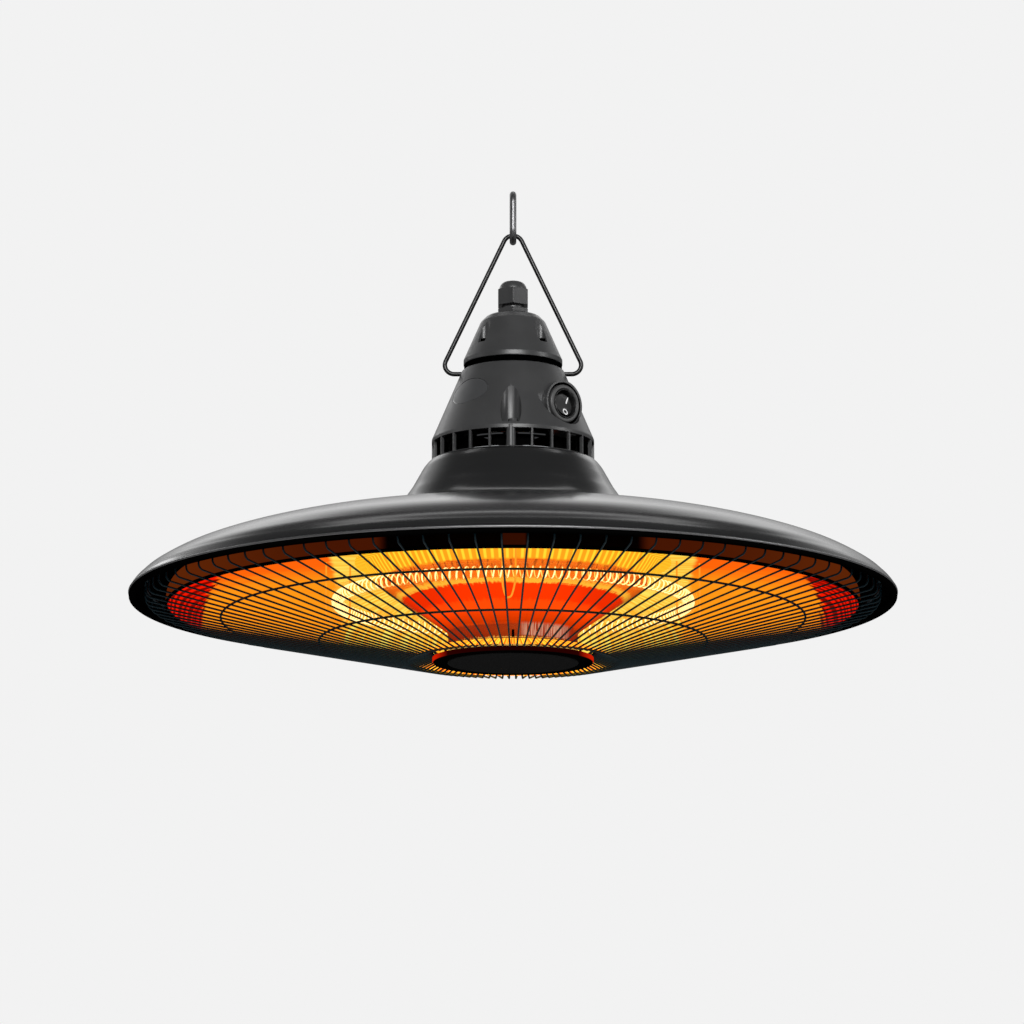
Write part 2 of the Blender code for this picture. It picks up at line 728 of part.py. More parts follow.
def make_upper_cap(frame):
    """The cap over the housing, with its pockets, and the gasket under it."""
    outer = cap_outline()
    wall = CAP_WALL
    hole = GLAND_THREAD_RADIUS + GAP
    under, over = CAP_BASE - CUT_OVERRUN, CAP_TOP + CUT_OVERRUN
    cap = turned_solid("upper_cap", [(0, CAP_BASE)] + outer + [(0, CAP_TOP)], "housing", frame)
    hollow = turned_solid(
        "cap_hollow",
        [
            (0, under),
            (GASKET_INNER, under),
            (GASKET_INNER, CAP_BASE + wall),
            (CAP_RADIUS - wall, CAP_BASE + wall),
            (CAP_RADIUS - wall, CAP_BAND_TOP),
            (CAP_SHOULDER_RADIUS - wall, CAP_SHOULDER - wall),
            (CAP_CROWN_RADIUS - wall, CAP_TOP - wall),
            (hole, CAP_TOP - wall),
            (hole, over),
            (0, over),
        ],
        "housing",
        frame,
    )
    start = pi / CAP_SCREWS
    floor = CAP_BASE + CAP_POCKET_FLOOR
    angles = spread(CAP_SCREWS, start)
    radius = CAP_POCKET_RADIUS + CAP_POCKET_WALL
    blocks = rods_mesh(radius, under - CUT_OVERRUN, CAP_SHOULDER, CAP_POCKET_CENTRE, angles)
    boolean(hollow, add_part("cap_blocks", blocks, "housing", frame))
    boolean(cap, hollow)
    drill("cap_pockets", cap, CAP_POCKET_RADIUS, floor, CAP_TOP + CUT_OVERRUN, CAP_POCKET_CENTRE, angles, frame)
    drill("cap_holes", cap, CAP_SCREW_RADIUS + GAP, CAP_BASE - CUT_OVERRUN, CAP_TOP, CAP_POCKET_CENTRE, angles, frame)
    low, high = HOUSING_TOP + GAP, CAP_BASE - GAP
    ring = [(GASKET_INNER, low), (GASKET_OUTER, low), (GASKET_OUTER, high), (GASKET_INNER, high)]
    turned("cap_gasket", ring, "rubber", frame)
    return cap


def make_screws(frame):
    """The three housing screws and the four cap screws, heads down in their pockets."""
    length = POCKET_FLOOR + GAP - CLAMP_BASE
    for k, angle in enumerate(spread(HOUSING_SCREWS), 1):
        screw = screw_mesh(HOUSING_SCREW_RADIUS, length, HOUSING_SCREW_HEAD_RADIUS, HOUSING_SCREW_HEAD_HEIGHT)
        place = spin(angle) @ front(POCKET_CENTRE, POCKET_FLOOR + GAP)
        add_part(f"housing_screw_{k}", screw, "zinc", frame, place)
    floor = CAP_BASE + CAP_POCKET_FLOOR + GAP
    length = floor - HOUSING_TOP + 2 * HOUSING_WALL
    for k, angle in enumerate(spread(CAP_SCREWS, pi / CAP_SCREWS), 1):
        screw = screw_mesh(CAP_SCREW_RADIUS, length, CAP_SCREW_HEAD_RADIUS, CAP_SCREW_HEAD_HEIGHT)
        add_part(f"cap_screw_{k}", screw, "zinc", frame, spin(angle) @ front(CAP_POCKET_CENTRE, floor))


def hexagon(name, made, low, high, flats, frame):
    """Trims a turned piece to a hexagon with a corner to the front."""
    across = rod_mesh(flats / 2 / cos(pi / 6), low - CUT_OVERRUN, high + CUT_OVERRUN, 6, turn=0)
    return boolean(made, add_part(name, across, "housing", frame), "INTERSECT")


def make_gland(frame):
    """The cable gland: body, dome nut, rubber seal and the locknut inside the cap."""
    base = CAP_TOP + GAP
    flange = base + GLAND_FLANGE_HEIGHT
    nut_base = flange + GLAND_NECK_HEIGHT
    nut_top = nut_base + GLAND_NUT_HEIGHT
    thread, bore, corner = GLAND_THREAD_RADIUS, GLAND_BORE, GLAND_CORNER_RADIUS
    body_top = nut_base + GLAND_NUT_HEIGHT / 2
    body = turned(
        "gland_body",
        [
            (bore, base - GLAND_SHANK),
            (thread, base - GLAND_SHANK),
            (thread, base),
            (corner, base),
            (corner, flange),
            (thread, flange),
            (thread, body_top),
            (bore, body_top),
        ],
        "housing",
        frame,
        SMALL_SEGMENTS,
    )
    hexagon("gland_body_flats", body, base - GLAND_SHANK, body_top, GLAND_FLATS, frame)
    clear = thread + GAP
    seal_base = body_top + GAP
    nut = turned(
        "gland_nut",
        [
            (clear, nut_base),
            (corner, nut_base),
            (corner, nut_top),
            (GLAND_FLATS / 2 * 0.94, nut_top + GLAND_DOME_HEIGHT * 0.5),
            ((GLAND_FLATS / 2 + GLAND_DOME_RADIUS) * 0.49, nut_top + GLAND_DOME_HEIGHT * 0.85),
            (GLAND_DOME_RADIUS, nut_top + GLAND_DOME_HEIGHT),
            (bore, nut_top + GLAND_DOME_HEIGHT),
            (bore, seal_base + SEAL_HEIGHT + GAP),
            (clear, seal_base + SEAL_HEIGHT + GAP),
        ],
        "housing",
        frame,
        SMALL_SEGMENTS,
    )
    hexagon("gland_nut_flats", nut, nut_base, nut_top + GLAND_DOME_HEIGHT, GLAND_FLATS, frame)
    ring = [(bore, seal_base), (thread, seal_base), (thread, seal_base + SEAL_HEIGHT), (bore, seal_base + SEAL_HEIGHT)]
    turned("gland_seal", ring, "rubber", frame, SMALL_SEGMENTS)
    top = CAP_TOP - CAP_WALL - GAP
    low = top - LOCKNUT_HEIGHT
    locknut = turned(
        "gland_locknut", [(clear, low), (corner, low), (corner, top), (clear, top)], "zinc", frame, SMALL_SEGMENTS
    )
    hexagon("locknut_flats", locknut, low, top, GLAND_FLATS, frame)


# Rocker switch


def switch_frame():
    """The switch face: local Z out of the face, local Y up it."""
    out = Vector((sin(SWITCH_FACING), -cos(SWITCH_FACING), 0))
    across = Vector((cos(SWITCH_FACING), sin(SWITCH_FACING), 0))
    turn = Matrix((across, out.cross(across), out)).transposed().to_4x4()
    centre = polar(SWITCH_CENTRE_RADIUS, SWITCH_AZIMUTH, CREASE + SWITCH_HEIGHT)
    return Matrix.Translation(centre) @ turn @ Matrix.Rotation(SWITCH_ROLL, 4, "Z")


def make_switch(frame, switch, rocker_axis):
    """The rubber ring, the switch body, its pin and the rocker, whose upper end is pressed in."""
    floor = -RECESS_DEPTH + GAP
    ring = [
        (BOOT_INNER, floor),
        (BOOT_OUTER, floor),
        (BOOT_OUTER, BOOT_RISE * 0.2),
        ((BOOT_OUTER + BOOT_INNER) / 2, BOOT_RISE),
        (BOOT_INNER, BOOT_RISE),
    ]
    turned("switch_boot_ring", ring, "rubber", frame, SMALL_SEGMENTS * 2, switch)
    low = -SWITCH_BARREL_DEPTH
    wall = SWITCH_RIM_OUTER - SWITCH_RIM_INNER
    cup = [
        (0, low - wall),
        (SWITCH_RIM_OUTER, low - wall),
        (SWITCH_RIM_OUTER, SWITCH_RIM_RISE),
        (SWITCH_RIM_INNER, SWITCH_RIM_RISE),
        (SWITCH_RIM_INNER, low),
        (0, low),
    ]
    points, faces = turned_mesh(cup, SMALL_SEGMENTS * 2, closed=False)
    body = add_mesh("switch_body", points, faces, "rubber", frame, switch)
    across = Matrix.Translation((0, 0, -ROCKER_PIVOT_DEPTH)) @ Matrix.Rotation(pi / 2, 4, "Y")
    reach = SWITCH_RIM_OUTER
    hole = rod_mesh(ROCKER_PIN_RADIUS + GAP, -reach, reach)
    boolean(body, add_part("pin_holes", hole, "rubber", frame, switch @ across))
    pin = rod_mesh(ROCKER_PIN_RADIUS, -reach + GAP, reach - GAP)
    add_part("rocker_pin", pin, "steel", frame, switch @ across)
    low, high = ROCKER_PIVOT_DEPTH - ROCKER_SKIRT, ROCKER_PIVOT_DEPTH - ROCKER_SINK
    rocker = add_part("switch_rocker", rod_mesh(ROCKER_RADIUS, low, high, SMALL_SEGMENTS * 2), "rubber", rocker_axis)
    bore = rod_mesh(ROCKER_PIN_RADIUS + GAP, -reach, reach)
    boolean(rocker, add_part("rocker_bore", bore, "rubber", rocker_axis, Matrix.Rotation(pi / 2, 4, "Y")))


# Inside the neck


def make_neck_parts(frame):
    """Baffle, terminal block, clamp ring and hanger rods."""
    low, wall = NECK_HEIGHT + GAP, BAFFLE_WALL
    top = low + BAFFLE_HEIGHT
    profile = [
        (BAFFLE_RADIUS - wall, low),
        (BAFFLE_RADIUS + wall, low),
        (BAFFLE_RADIUS + wall, low + wall),
        (BAFFLE_RADIUS, low + wall),
        (BAFFLE_RADIUS, top),
        (BAFFLE_HOLE, top),
        (BAFFLE_HOLE, top - wall),
        (BAFFLE_RADIUS - wall, top - wall),
    ]
    baffle = turned("inner_baffle", profile, "zinc", frame)
    slot_low = (low + top - BAFFLE_SLOT_HEIGHT) / 2
    slots = joined(
        moved(
            box_mesh(
                (-BAFFLE_SLOT_WIDTH / 2, -BAFFLE_RADIUS - CUT_OVERRUN, slot_low),
                (BAFFLE_SLOT_WIDTH / 2, -BAFFLE_RADIUS + CUT_OVERRUN, slot_low + BAFFLE_SLOT_HEIGHT),
            ),
            spin(a),
        )
        for a in spread(BAFFLE_SLOTS, pi / BAFFLE_SLOTS)
    )
    boolean(baffle, add_part("baffle_slots", slots, "zinc", frame))
    block = box_mesh(
        (-TERMINAL_LENGTH / 2, TERMINAL_SHIFT - TERMINAL_DEPTH / 2, top + GAP),
        (TERMINAL_LENGTH / 2, TERMINAL_SHIFT + TERMINAL_DEPTH / 2, top + GAP + TERMINAL_HEIGHT),
    )
    add_part("terminal_block", block, "terminal", frame)
    ring = [
        (CLAMP_RING_INNER, CLAMP_BASE),
        (CLAMP_RING_OUTER, CLAMP_BASE),
        (CLAMP_RING_OUTER, CLAMP_TOP),
        (CLAMP_RING_INNER, CLAMP_TOP),
    ]
    ring = turned("clamp_ring", ring, "zinc", frame)
    hole = HOUSING_SCREW_RADIUS + GAP
    low, high = CLAMP_BASE - CUT_OVERRUN, CLAMP_TOP + CUT_OVERRUN
    drill("clamp_holes", ring, hole, low, high, POCKET_CENTRE, spread(HOUSING_SCREWS), frame)
    for k, angle in enumerate(spread(ROD_COUNT, pi / ROD_COUNT), 1):
        rod = rod_mesh(ROD_RADIUS, SHIELD_TOP + GAP, CLAMP_BASE - GAP)
        add_part(f"hanger_rod_{k}", rod, "zinc", frame, spin(angle) @ front(POCKET_CENTRE))


# Shade, shield and reflectors


def shade_outside():
    """The shade's outer profile from the lip to the neck's top edge."""
    span = SHADE_RADIUS - NECK_RADIUS
    inner = [(NECK_RADIUS + span * a, NECK_HEIGHT * b) for a, b in SHADE_SHARES]
    return [(SHADE_RADIUS, 0)] + inner + [(NECK_RADIUS, NECK_HEIGHT)]


def shade_inner_height(radius):
    """The lowest height of the shade's inner facets above a radius."""
    inside = offset(shade_outside(), -SHADE_WALL)
    radius = radius / cos(pi / LARGE_SEGMENTS)
    for (r0, z0), (r1, z1) in zip(inside, inside[1:]):
        if r1 <= radius <= r0:
            return z0 + (z1 - z0) * (r0 - radius) / (r0 - r1)
    return inside[0][1]


# The shield hangs under the shade's inside, and the pan under the shield
SHIELD_TOP = shade_inner_height(SHIELD_RADIUS) - SHIELD_CLEARANCE
SHIELD_HEIGHT = SHIELD_TOP - SHIELD_THICKNESS
PAN_CEILING = SHIELD_HEIGHT - SPACER_HEIGHT - PAN_WALL


def make_shade(frame):
    """The spun shade, from the rolled hem at the lip to the flange that carries it."""
    outer = shade_outside()
    inside = offset(outer[1:-1], -SHADE_WALL)
    flange = NECK_HEIGHT - SHADE_WALL
    profile = (
        [(SHADE_RADIUS - HEM_WIDTH, -HEM_DEPTH), (SHADE_RADIUS, -HEM_DEPTH)]
        + outer
        + [(NECK_FLANGE_INNER, NECK_HEIGHT), (NECK_FLANGE_INNER, flange), (NECK_RADIUS - SHADE_WALL, flange)]
        + inside[::-1]
        + [(SHADE_RADIUS - HEM_WIDTH, HEM_DEPTH)]
    )
    shade = turned("shade", profile, "shade", frame, LARGE_SEGMENTS)
    hole = HOUSING_SCREW_RADIUS + GAP
    low, high = flange - CUT_OVERRUN, NECK_HEIGHT + CUT_OVERRUN
    drill("shade_holes", shade, hole, low, high, POCKET_CENTRE, spread(HOUSING_SCREWS), frame)
    return shade


def make_reflectors(frame):
    """The heat shield, its spacers, the outer reflector pan and the hub reflector."""
    low, high = SHIELD_HEIGHT, SHIELD_TOP
    shield = turned(
        "heat_shield", [(SHIELD_INNER, low), (SHIELD_RADIUS, low), (SHIELD_RADIUS, high), (SHIELD_INNER, high)],
        "zinc",
        frame,
        MIDDLE_SEGMENTS,
    )
    height = PAN_CEILING + PAN_EDGE_DROP
    under = [(PAN_RADIUS * a, -PAN_EDGE_DROP + height * b) for a, b in PAN_SHARES] + [(PAN_INNER, PAN_CEILING)]
    over = offset(under, PAN_WALL)
    pan = turned("reflector_pan", under[::-1] + over, "reflector", frame, LARGE_SEGMENTS)
    leads = holder_azimuths()
    for name, target, level in (("shield_holes", shield, high), ("pan_holes", pan, PAN_CEILING + PAN_WALL)):
        depth = SHIELD_THICKNESS + CUT_OVERRUN
        drill(name, target, LEAD_WIRE * 2, level - depth, level + CUT_OVERRUN, RING_RADIUS, leads, frame)
    top = PAN_CEILING - GAP
    skin = HUB_SKIN
    outside = [
        (HUB_THROAT_RADIUS, top - skin * 2),
        ((HUB_THROAT_RADIUS + HUB_SHOULDER_RADIUS) / 2, (top + HUB_SHOULDER_HEIGHT) * 0.55),
        (HUB_SHOULDER_RADIUS, HUB_SHOULDER_HEIGHT),
        (HUB_CONE_RADIUS, -HUB_CONE_DROP),
        (HUB_BARREL_RADIUS, -HUB_BARREL_DROP),
    ]
    inside = offset(outside, skin)
    bolt = HUB_BOLT_RADIUS + GAP
    profile = (
        [(HUB_FLANGE_RADIUS, top), (HUB_FLANGE_RADIUS, top - skin)]
        + outside
        + [(bolt, -HUB_BARREL_DROP), (bolt, skin - HUB_BARREL_DROP)]
        + [(HUB_BARREL_RADIUS - skin, skin - HUB_BARREL_DROP)]
        + inside[::-1][1:]
        + [(HUB_THROAT_RADIUS - skin, top)]
    )
    turned("hub_reflector", profile, "reflector", frame, MIDDLE_SEGMENTS)
    for k, angle in enumerate(spread(SPACER_COUNT, pi / SPACER_COUNT), 1):
        spacer = rod_mesh(SPACER_RADIUS, PAN_CEILING + PAN_WALL + GAP, SHIELD_HEIGHT - GAP)
        centre = (PAN_INNER + HUB_FLANGE_RADIUS) / 2
        add_part(f"reflector_spacer_{k}", spacer, "zinc", frame, spin(angle) @ front(centre))


def make_pan_hangers(frame):
    """Brackets between the pan's rim and the shade, in the dark channel."""
    start = PAN_RADIUS + PAN_WALL + GAP
    end = start + PAN_HANGER_WIDTH
    reach = hypot(end, PAN_HANGER_LENGTH / 2)
    top = shade_inner_height(reach) - GAP
    for k, angle in enumerate(spread(PAN_HANGERS, pi / PAN_HANGERS), 1):
        low = (-PAN_HANGER_LENGTH / 2, -end, -PAN_HANGER_OVERLAP)
        high = (PAN_HANGER_LENGTH / 2, -start, top)
        add_part(f"pan_hanger_{k}", box_mesh(low, high), "zinc", frame, spin(angle))


# Quartz ring heater


def holder_azimuths():
    """The azimuths of the two end holders, either side of the back."""
    offset_angle = (HOLDER_INSET + HOLDER_LENGTH / 2) / RING_RADIUS
    return [pi - offset_angle, pi + offset_angle]


def ring_end():
    """How far the tube's ends stay from the back, as an angle."""
    return (HOLDER_INSET + HOLDER_LENGTH - HOLDER_SOCKET) / RING_RADIUS


def make_tube(frame):
    """A ring of quartz tube, open at both ends, whose gap is at the back."""
    steps, sides = LARGE_SEGMENTS - 2, 6
    start, end = -pi + ring_end(), pi - ring_end()
    points, faces = [], []
    for radius in (TUBE_OUTER, TUBE_INNER):
        for n in range(steps + 1):
            azimuth = start + (end - start) * n / steps
            for side in range(sides):
                turn = 2 * pi * (side + 0.5) / sides
                points.append(polar(RING_RADIUS + radius * cos(turn), azimuth, RING_HEIGHT + radius * sin(turn)))
    inner = (steps + 1) * sides
    for n in range(steps):
        for side in range(sides):
            after = (side + 1) % sides
            quad = [n * sides + side, n * sides + after, (n + 1) * sides + after, (n + 1) * sides + side]
            faces.append(quad)
            faces.append([inner + i for i in quad[::-1]])
    for n in (0, steps):
        for side in range(sides):
            after = (side + 1) % sides
            here, there = n * sides + side, n * sides + after
            faces.append([here, there, inner + there, inner + here])
    return add_mesh("quartz_tube", points, faces, "quartz", frame)


def coil_path():
    """The heating coil: one helix along the ring, with straight tails into the holders."""
    tail = COIL_TAIL / RING_RADIUS
    start, end = -pi + ring_end() + tail, pi - ring_end() - tail
    steps = COIL_TURNS * COIL_POINTS_PER_TURN
    height = RING_HEIGHT - COIL_SAG
    path = []
    for azimuth in (start - 2 * tail, start - tail):
        path.append(polar(RING_RADIUS, azimuth, height))
    for n in range(steps + 1):
        turn = 2 * pi * n / COIL_POINTS_PER_TURN
        ease = min(1.0, n / COIL_POINTS_PER_TURN, (steps - n) / COIL_POINTS_PER_TURN)
        azimuth = start + (end - start) * n / steps
        radius = COIL_RADIUS * ease
        path.append(polar(RING_RADIUS + radius * cos(turn), azimuth, height + radius * sin(turn)))
    for azimuth in (end + tail, end + 2 * tail):
        path.append(polar(RING_RADIUS, azimuth, height))
    return path


def self_gap(path, radius, skip):
    """The least gap between parts of a wire that aren't neighbours, measured on points between its own."""
    route = np.array(path)
    shares = np.linspace(0, 1, 4, endpoint=False)[None, :, None]
    fine = (route[:-1, None] * (1 - shares) + route[1:, None] * shares).reshape(-1, 3)
    least = np.inf
    for k in range(0, len(fine) - 4 * skip, 3):
        ahead = fine[k + 4 * skip : k + 12 * skip]
        least = min(least, np.linalg.norm(ahead - fine[k], axis=1).min())
    return least - 2 * radius


def make_coil(frame):
    path = coil_path()
    least = self_gap(path, COIL_WIRE, COIL_POINTS_PER_TURN // 2)
    print(f"heating_coil: least gap to itself {least / GAP * 0.3:.2f} mm")
    return wire("heating_coil", path, COIL_WIRE, "coil", frame, resolution=1)


def make_holders(frame):
    """The ceramic blocks that hold the tube's ends under the pan."""
    top = PAN_CEILING - GAP
    half = HOLDER_LENGTH / 2
    width = HOLDER_WIDTH / 2
    for k, azimuth in enumerate(holder_azimuths(), 1):
        side = 1 if k == 2 else -1
        block = box_mesh((-half, -width, RING_HEIGHT - HOLDER_FLOOR), (half, width, top))
        place = spin(azimuth) @ front(RING_RADIUS)
        holder = add_part(f"tube_holder_{k}", block, "ceramic", frame, place)
        along = place @ Matrix.Translation((0, 0, RING_HEIGHT)) @ Matrix.Rotation(side * pi / 2, 4, "Y")
        socket = rod_mesh(TUBE_OUTER + 2 * GAP, half - HOLDER_SOCKET - GAP, half + CUT_OVERRUN)
        boolean(holder, add_part(f"socket_cutter_{k}", socket, "ceramic", frame, along))
        bore = rod_mesh(COIL_WIRE * 4, -half - CUT_OVERRUN, half)
        boolean(holder, add_part(f"coil_bore_{k}", bore, "ceramic", frame, along))
        lead = rod_mesh(LEAD_WIRE + GAP, top / 2, top + CUT_OVERRUN)
        boolean(holder, add_part(f"lead_bore_{k}", lead, "ceramic", frame, place))


def make_tube_clips(frame):
    """Hairpins of wire that hang from the pan and pass under the tube."""
    top = PAN_CEILING - GAP
    low = RING_HEIGHT - CLIP_DROP
    skew = CLIP_SKEW
    route = [
        (CLIP_REACH, 0, top),
        (CLIP_REACH, 0, RING_HEIGHT),
        (CLIP_REACH, 0, RING_HEIGHT - CLIP_LEG_END),
        (CLIP_REACH * 0.7, -skew * 0.15, low + (CLIP_DROP - CLIP_LEG_END) * 0.3),
        (0, -skew * 0.5, low),
        (-CLIP_REACH * 0.7, -skew * 0.85, low + (CLIP_DROP - CLIP_LEG_END) * 0.3),
        (-CLIP_REACH, -skew, RING_HEIGHT - CLIP_LEG_END),
        (-CLIP_REACH, -skew, RING_HEIGHT),
        (-CLIP_REACH, -skew, top),
    ]
    for k, azimuth in enumerate((0, pi / 2, -pi / 2), 1):
        points = [polar(RING_RADIUS + out, azimuth, z, along) for out, along, z in route]
        wire(f"tube_clip_{k}", smooth_path(points, 13), CLIP_WIRE, "steel", frame, resolution=1)


def make_leads(frame):
    """Two insulated leads from the terminal block to the tube's ends."""
    block_low = NECK_HEIGHT + BAFFLE_HEIGHT + 2 * GAP
    for k, azimuth in enumerate(holder_azimuths(), 1):
        side = 1 if k == 1 else -1
        foot = polar(RING_RADIUS, azimuth, PAN_CEILING * 0.55)
        above = polar(RING_RADIUS, azimuth, SHIELD_TOP + LEAD_WIRE * 3)
        turn = polar(RING_RADIUS * 0.92, azimuth, SHIELD_TOP + LEAD_WIRE * 6)
        neck = polar(BAFFLE_RADIUS * 0.75, pi - side * 0.25, NECK_HEIGHT * 0.62)
        hole = polar(BAFFLE_HOLE * 0.55, pi / 2 + (1 - side) * pi / 2, block_low)
        beside = (side * TERMINAL_LENGTH * 0.28, TERMINAL_SHIFT - TERMINAL_DEPTH, block_low + TERMINAL_HEIGHT * 0.6)
        end = (
            side * TERMINAL_LENGTH * 0.28,
            TERMINAL_SHIFT - TERMINAL_DEPTH / 2 - GAP,
            block_low + TERMINAL_HEIGHT * 0.6,
        )
        path = smooth_path([foot, polar(RING_RADIUS, azimuth, SHIELD_HEIGHT), above, turn, neck, hole, beside, end], 15)
        wire(f"lead_wire_{k}", path, LEAD_WIRE, "lead", frame, resolution=1)


# Wire grille and hub


def make_grille(frame):
    """All the wires with their rim ring and hub ring, as one welded cage.

    Each ring is a three-sided band split into a stretch under every wire and one
    between wires, and each wire grows out of its stretch's lower or outer face.
    """
    half = WIRE_RADIUS
    rim, hub = WIRE_RING_RADIUS, HUB_RING_RADIUS
    slope = atan2(WIRE_HUB_DROP - WIRE_BEND_DROP, rim - WIRE_HUB_RADIUS)
    inward = atan2(WIRE_HUB_DROP - HUB_RING_DROP, WIRE_HUB_RADIUS - hub)
    bend = WIRE_BEND_RADIUS
    rim_low = WIRE_RING_HEIGHT
    centre = [
        (rim, rim_low, pi / 2),
        (rim - bend, -WIRE_BEND_DROP - bend * tan(slope), slope),
        (WIRE_HUB_RADIUS, -WIRE_HUB_DROP, (slope - inward) / 2),
        (hub, -HUB_RING_DROP, -inward),
    ]
    section = []
    for n, (radius, height, angle) in enumerate(centre):
        if n == len(centre) - 1:
            section.append(((radius, height + half), (radius, height - half)))
            continue
        out = (half * sin(angle), -half * cos(angle))
        section.append(((radius - out[0], height - out[1]), (radius + out[0], height + out[1])))
    rim_apex = (rim, rim_low + WIRE_RING_SIZE)
    hub_apex = (hub - HUB_RING_SIZE, -HUB_RING_DROP)
    points, faces = [], []
    for k in range(WIRE_COUNT):
        azimuth = 2 * pi * k / WIRE_COUNT
        for side in (-1, 1):
            places = [rim_apex] + [place for pair in section for place in pair] + [hub_apex]
            points += [polar(radius, azimuth, height, side * half) for radius, height in places]
    row = 2 * len(section) + 2
    for k in range(WIRE_COUNT):
        left, right = 2 * k * row, (2 * k + 1) * row
        ahead = 2 * ((k + 1) % WIRE_COUNT) * row
        last = row - 1
        for n in range(len(section) - 1):
            inner, outer = 1 + 2 * n, 2 + 2 * n
            faces.append([left + inner, right + inner, right + inner + 2, left + inner + 2])
            faces.append([left + outer, left + outer + 2, right + outer + 2, right + outer])
            faces.append([left + inner, left + inner + 2, left + outer + 2, left + outer])
            faces.append([right + inner, right + outer, right + outer + 2, right + inner + 2])
        for a, b, apex in ((1, 2, 0), (last - 2, last - 1, last)):
            faces.append([left + a, left + apex, right + apex, right + a])
            faces.append([left + b, right + b, right + apex, left + apex])
            faces.append([right + a, right + apex, ahead + apex, ahead + a])
            faces.append([right + b, ahead + b, ahead + apex, right + apex])
            faces.append([right + a, ahead + a, ahead + b, right + b])
    return add_mesh("grille", points, faces, "grille_wire", frame)


def wire_height(radius):
    """The centre height of the grille's wires at a radius on their long slope."""
    share = (WIRE_RING_RADIUS - radius) / (WIRE_RING_RADIUS - WIRE_HUB_RADIUS)
    return -WIRE_BEND_DROP - share * (WIRE_HUB_DROP - WIRE_BEND_DROP)


def make_support_rings(frame):
    """The two round hoops on the inner side of the wires."""
    slope = atan2(WIRE_HUB_DROP - WIRE_BEND_DROP, WIRE_RING_RADIUS - WIRE_HUB_RADIUS)
    lift = (WIRE_RADIUS + GAP + SUPPORT_WIRE) / cos(slope)
    for name, radius in (("support_ring_outer", SUPPORT_OUTER_RADIUS), ("support_ring_inner", SUPPORT_INNER_RADIUS)):
        height = wire_height(radius) + lift
        profile = []
        for n in range(4):
            turn = 2 * pi * n / 4
            profile.append((radius + SUPPORT_WIRE * cos(turn), height + SUPPORT_WIRE * sin(turn)))
        turned(name, profile, "grille_wire", frame, LARGE_SEGMENTS)


def make_hub(frame):
    """The hub cap with its central boss, its plate, bolt and the clips on the barrel."""
    top, low, wall = HUB_CAP_TOP, HUB_CAP_BASE, HUB_CAP_WALL
    bolt = HUB_BOLT_RADIUS + GAP
    edge = HUB_PLATE_RADIUS + GAP
    profile = [
        (bolt, low + HUB_PLATE_RECESS),
        (edge, low + HUB_PLATE_RECESS),
        (edge, low),
        (HUB_CAP_RADIUS - wall, low),
        (HUB_CAP_RADIUS, low + wall),
        (HUB_CAP_RADIUS, top),
        (HUB_CAP_RADIUS - wall, top),
        (HUB_CAP_RADIUS - wall, low + HUB_PLATE_RECESS + wall),
        (HUB_BOSS_RADIUS, low + HUB_PLATE_RECESS + wall),
        (HUB_BOSS_RADIUS, -HUB_BARREL_DROP - GAP),
        (bolt, -HUB_BARREL_DROP - GAP),
    ]
    turned("hub_cap", profile, "black_metal", frame, MIDDLE_SEGMENTS)
    plate_top = low + HUB_PLATE_RECESS - GAP
    points, faces = turned_mesh(
        [
            (0, low - HUB_PLATE_RISE),
            (HUB_PLATE_RADIUS, low - HUB_PLATE_RISE),
            (HUB_PLATE_RADIUS, plate_top),
            (0, plate_top),
        ],
        MIDDLE_SEGMENTS,
        closed=False,
    )
    add_mesh("hub_plate", points, faces, "black_metal", frame)
    seat = HUB_SKIN - HUB_BARREL_DROP + GAP
    end = low + HUB_PLATE_RECESS + GAP
    shank = screw_mesh(HUB_BOLT_RADIUS, seat - end, HUB_BOLT_HEAD, HUB_BOLT_HEAD_HEIGHT)
    add_part("hub_bolt", shank, "zinc", frame, Matrix.Translation((0, 0, seat)))
    ring_top = -HUB_RING_DROP + WIRE_RADIUS + GAP
    start = HUB_BARREL_RADIUS + GAP * 2
    height = HUB_CLIP_THICKNESS
    for k, angle in enumerate(spread(HUB_CLIPS), 1):
        half = HUB_CLIP_WIDTH / 2
        rise = 5 * HUB_CLIP_THICKNESS
        outline = [
            (start, ring_top + rise),
            (HUB_RING_RADIUS, ring_top + rise),
            (HUB_RING_RADIUS, ring_top),
            (HUB_RING_RADIUS - height, ring_top),
            (HUB_RING_RADIUS - height, ring_top + rise - height),
            (start, ring_top + rise - height),
        ]
        count = len(outline)
        points = [(x, -radius, z) for x in (-half, half) for radius, z in outline]
        faces = [list(range(count)), list(range(2 * count - 1, count - 1, -1))]
        faces += [[n, (n + 1) % count, count + (n + 1) % count, count + n] for n in range(count)]
        add_part(f"hub_clip_{k}", (points, faces), "black_metal", frame, spin(angle))


def make_grille_clips(frame):
    """Blocks that hold the grille's rim ring under the shade."""
    low = WIRE_RING_HEIGHT + WIRE_RING_SIZE + GAP
    start = WIRE_RING_RADIUS - GRILLE_CLIP_WIDTH / 2
    end = start + GRILLE_CLIP_WIDTH
    top = shade_inner_height(hypot(end, GRILLE_CLIP_LENGTH / 2)) - GAP
    for k, angle in enumerate(spread(GRILLE_CLIPS, pi / GRILLE_CLIPS), 1):
        block = box_mesh((-GRILLE_CLIP_LENGTH / 2, -end, low), (GRILLE_CLIP_LENGTH / 2, -start, top))
        add_part(f"grille_clip_{k}", block, "zinc", frame, spin(angle))


def empty(name, parent, matrix):
    made = bpy.data.objects.new(name, None)
    bpy.context.scene.collection.objects.link(made)
    made.parent = parent
    made.matrix_local = matrix
    return made


